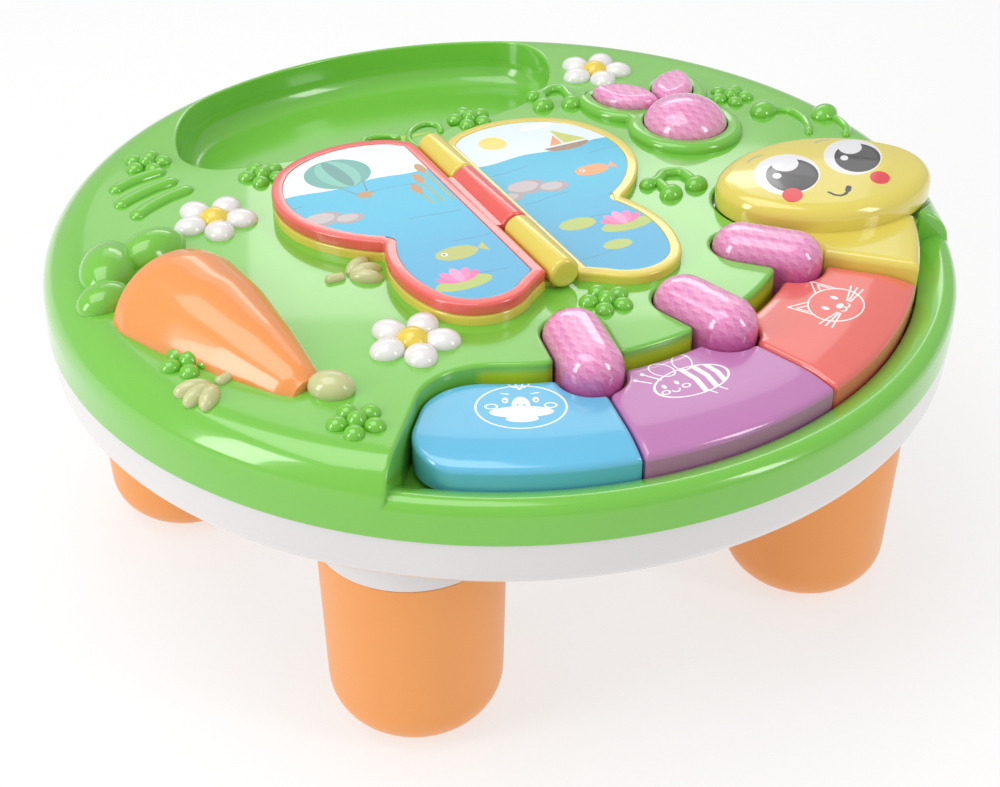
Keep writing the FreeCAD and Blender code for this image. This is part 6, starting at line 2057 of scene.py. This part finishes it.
@dataclass
class Ornaments:
    """Raised green decorations moulded with the deck: notes, antennae, ribs and sprigs."""

    housing: GreenHousing = field(default_factory=GreenHousing)

    def rod(self, mesh: Mesh, points: Sequence[Spot], radius: float, rise: float,
            flat: float = 1.0) -> None:
        """Add a rounded rib on the deck.

        Args:
            mesh: The mesh to add to.
            points: Plan points that it goes through.
            radius: Half its width.
            rise: Height of its middle line over the deck.
            flat: Height of a section as part of its width.
        """
        path = [point + Vector((0, 0, rise)) for point in curve_through(points, self.housing.height)]
        count = len(path)
        radii = [radius * min(1.0, 0.35 + min(step, count - 1 - step) / 2.5) for step in range(count)]
        sweep(mesh, path, radii, 16, flat)

    def knob(self, mesh: Mesh, x: float, y: float, size: tuple[float, float, float],
             turn: float = 0.0) -> None:
        """Add a rounded knob on the deck."""
        bead(mesh, x, y, height_at(self.housing.height, x, y), size, turn)

    def notes(self, mesh: Mesh) -> None:
        """Add two pairs of joined notes."""
        for knobs, beam in (
                (((71.3, -13.8), (76.7, -26.5), (92.0, -24.2)),
                 ((72.0, -14.0), (77.6, -12.2), (83.8, -7.6), (89.4, -8.6), (92.6, -12.4), (92.4, -23.0))),
                (((69.1, 98.6), (68.6, 86.4), (83.2, 82.4)),
                 ((69.6, 98.4), (74.6, 99.6), (80.4, 102.4), (85.6, 101.4), (87.4, 97.2), (84.6, 84.0)))):
            for place, size in zip(knobs, ((4.2, 3.8, 4.0), (6.2, 5.2, 5.0), (6.2, 5.2, 5.0))):
                self.knob(mesh, *place, size, 20)
            self.rod(mesh, beam, 2.7, 0.6)
            (start_x, start_y), (end_x, end_y) = beam[1], knobs[1]
            middle = ((start_x + end_x) / 2, (start_y + end_y) / 2)
            self.rod(mesh, (beam[1], middle, knobs[1]), 2.6, 0.4)

    def antennae(self, mesh: Mesh) -> None:
        """Add the butterfly's and the head's antennae."""
        for points in (((-15, 62), (-24, 77), (-31, 86), (-30, 91), (-25, 92), (-17, 90), (-13, 85)),
                       ((-6, 62), (-9, 70), (-10, 80), (-6, 89), (1, 94), (7, 94), (10, 89), (8, 82))):
            self.rod(mesh, points, 1.7, 0.3)
        for points in (
                ((172.2, -2.5), (177.5, 5.7), (180.3, 14.9), (179.2, 24.0), (173.9, 28.3), (167.0, 30.2)),
                ((187.0, -12.8), (192.0, -7.2), (194.4, -2.0), (195.4, 5.6), (193.0, 13.3))):
            self.rod(mesh, points, 2.1, 0.3)
            self.knob(mesh, *points[-1], (8.4, 6.4, 5.6), 25)

    def ribs(self, mesh: Mesh) -> None:
        """Add the three curved ribs over the sound openings."""
        for points in (((-156, 64), (-147, 71), (-135, 77), (-122, 81)),
                       ((-160, 78), (-150, 84), (-138, 89), (-126, 92)),
                       ((-158, 94), (-149, 99), (-140, 102), (-128, 104))):
            self.rod(mesh, points, 3.8, -0.4, 0.8)

    def sprigs(self, mesh: Mesh) -> None:
        """Add the pale leaf sprigs beside the carrot and its pale tip."""
        stalk, reach = 9, 9.5
        for x, y, heading, spread in ((-98, -28, 0, 34), (-157, -78, 205, 30)):
            cosine, sine = unit(heading)
            tip = (x + stalk * cosine, y + stalk * sine)
            self.rod(mesh, ((x, y), ((x + tip[0]) / 2, (y + tip[1]) / 2), tip), 2.3, 0.4)
            for lean in (spread, 0, -spread):
                cosine, sine = unit(heading + lean)
                leaf = (tip[0] + reach * cosine, tip[1] + reach * sine)
                self.knob(mesh, *leaf, (7.6, 3.9, 4.4), heading + lean)
        bead(mesh, -126.5, -105.5, DECK + 1.5, (9.6, 7.6, 6.6), -40)

    def build(self) -> None:
        """Make the decorations."""
        mesh = bmesh.new()
        for part in (self.notes, self.antennae, self.ribs):
            part(mesh)
        dress(finish_mesh("green_ornaments", mesh, 70), Finish.BEAD_GREEN, "table", slot="green_shell")
        mesh = bmesh.new()
        self.sprigs(mesh)
        dress(finish_mesh("pale_sprigs", mesh, 70), Finish.PALE, "table", slot="green_shell")


@dataclass
class HiddenParts:
    """Better materials for the model's own pieces under the housing."""

    table: tuple[tuple[Finish, str], ...] = (
        (Finish.BOARD, "main_board radish_board"), (Finish.FROST, "leds light_diffusers radish_diffuser"),
        (Finish.BLACK, "speaker switch_body"), (Finish.WHITE, "battery_door"), (Finish.ORANGE, "mode_switch"),
        (Finish.STEEL, "battery_contacts shell_screws board_screws door_screw hinge_pin"),
        (Finish.CELL, "batteries"), (Finish.RUBBER, "pad_blue pad_purple pad_red pad_head pad_radish"))

    def build(self) -> None:
        """Give each node's object its material."""
        meshes = [thing for thing in bpy.data.objects if thing.type == "MESH"]
        for finish, names in self.table:
            for name in names.split():
                found = [thing for thing in meshes if thing.name.split(".")[0] == name]
                for place in (slot for thing in found for slot in thing.material_slots):
                    place.material = Shop.material(finish)
                if not found:
                    LOG.warning("no object for %s", name)


@dataclass(frozen=True)
class Lamp:
    """Soft panel lamp: its place and size in metres and its power in watts."""

    name: str
    place: tuple[float, float, float]
    size: Spot
    power: float


@dataclass
class Studio:
    """Pale floor, soft lamps and the camera at the photograph's angle. Its lengths are metres."""

    lens: float = 59.25
    place: tuple[float, float, float] = (-0.3049, -0.6062, 0.5237)
    heading: float = 26.7
    pitch: float = 34.62
    aim: tuple[float, float, float] = (0.02, -0.02, 0.16)
    lamps: tuple[Lamp, ...] = (
        Lamp("broad_sheen", (0.6, 1.226, 1.16), (1.24, 0.6), 1.5),
        Lamp("near_sheen", (0.66, 1.29, 0.98), (0.76, 0.25), 1.2),
        Lamp("top_light", (-0.45, 0.1, 1.7), (1.2, 1.2), 11.0),
        Lamp("left_window", (-1.35, -0.1, 0.75), (0.4, 0.9), 7.0),
        Lamp("right_window", (0.9, -1.3, 1.0), (0.3, 0.8), 5.0))

    def build(self) -> None:
        """Make the floor, the light and the camera."""
        self.add_floor()
        self.add_world()
        for lamp in self.lamps:
            self.add_lamp(lamp)
        data = bpy.data.cameras.new("photo_camera")
        data.lens, data.sensor_width, data.clip_start = self.lens, 36.0, 0.01
        camera = add_object("photo_camera", data)
        turn = Matrix.Rotation(math.radians(-self.heading), 4, "Z")
        tilt = Matrix.Rotation(math.radians(90 - self.pitch), 4, "X")
        camera.matrix_world = Matrix.Translation(self.place) @ turn @ tilt
        bpy.context.scene.camera = camera
        bpy.context.scene.view_settings.view_transform = "Standard"

    @staticmethod
    def add_floor() -> None:
        """Add the floor, white to the camera and shaded by the table."""
        mesh = bmesh.new()
        far, low = 6000, -0.2
        corners = [(-far, -far, low), (far, -far, low), (far, far, low), (-far, far, low)]
        mesh.faces.new([mesh.verts.new(corner) for corner in corners])
        floor = finish_mesh("floor", mesh, outwards=False)
        graph = Graph("pale_floor")
        paper = graph.node("ShaderNodeBsdfDiffuse", {}, {"Color": paint(hue(252, 252, 252))})
        glow = graph.node("ShaderNodeEmission", {}, {"Color": paint(hue(255, 255, 255)), "Strength": 1.0})
        floor.data.materials.append(graph.finish(graph.node("ShaderNodeMixShader", {}, [0.62, paper, glow])))

    @staticmethod
    def add_world() -> None:
        """Light the scene evenly, and show white behind it."""
        world = bpy.data.worlds.new("soft_room")
        world.use_nodes = True
        nodes, links = world.node_tree.nodes, world.node_tree.links
        nodes.clear()
        path, mix = nodes.new("ShaderNodeLightPath"), nodes.new("ShaderNodeMixShader")
        links.new(path.outputs["Is Camera Ray"], mix.inputs[0])
        for index, strength in enumerate((0.52, 1.0), 1):
            light = nodes.new("ShaderNodeBackground")
            light.inputs["Color"].default_value = (1.0, 1.0, 1.0, 1.0)
            light.inputs["Strength"].default_value = strength
            links.new(light.outputs[0], mix.inputs[index])
        links.new(mix.outputs[0], nodes.new("ShaderNodeOutputWorld").inputs["Surface"])
        bpy.context.scene.world = world

    def add_lamp(self, lamp: Lamp) -> None:
        """Add a lamp that faces the table."""
        data = bpy.data.lights.new(lamp.name, "AREA")
        data.shape, data.energy = "RECTANGLE", lamp.power
        data.size, data.size_y = lamp.size
        thing = add_object(lamp.name, data)
        facing = (Vector(lamp.place) - Vector(self.aim)).to_track_quat("Z", "Y").to_matrix().to_4x4()
        thing.matrix_world = Matrix.Translation(lamp.place) @ facing


ASSEMBLIES = (GreenHousing, WhiteBase, Legs, Keys, Head, Book, Lenses, Radish, Carrot, Flowers, Ornaments,
              HiddenParts, Studio)


def main() -> None:
    """Build every sub-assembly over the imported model."""
    logging.basicConfig(level=logging.INFO, format="%(message)s")
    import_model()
    for builder in ASSEMBLIES:
        builder().build()
        LOG.info("%s done", builder.__name__)


if __name__ == "__main__":
    main()
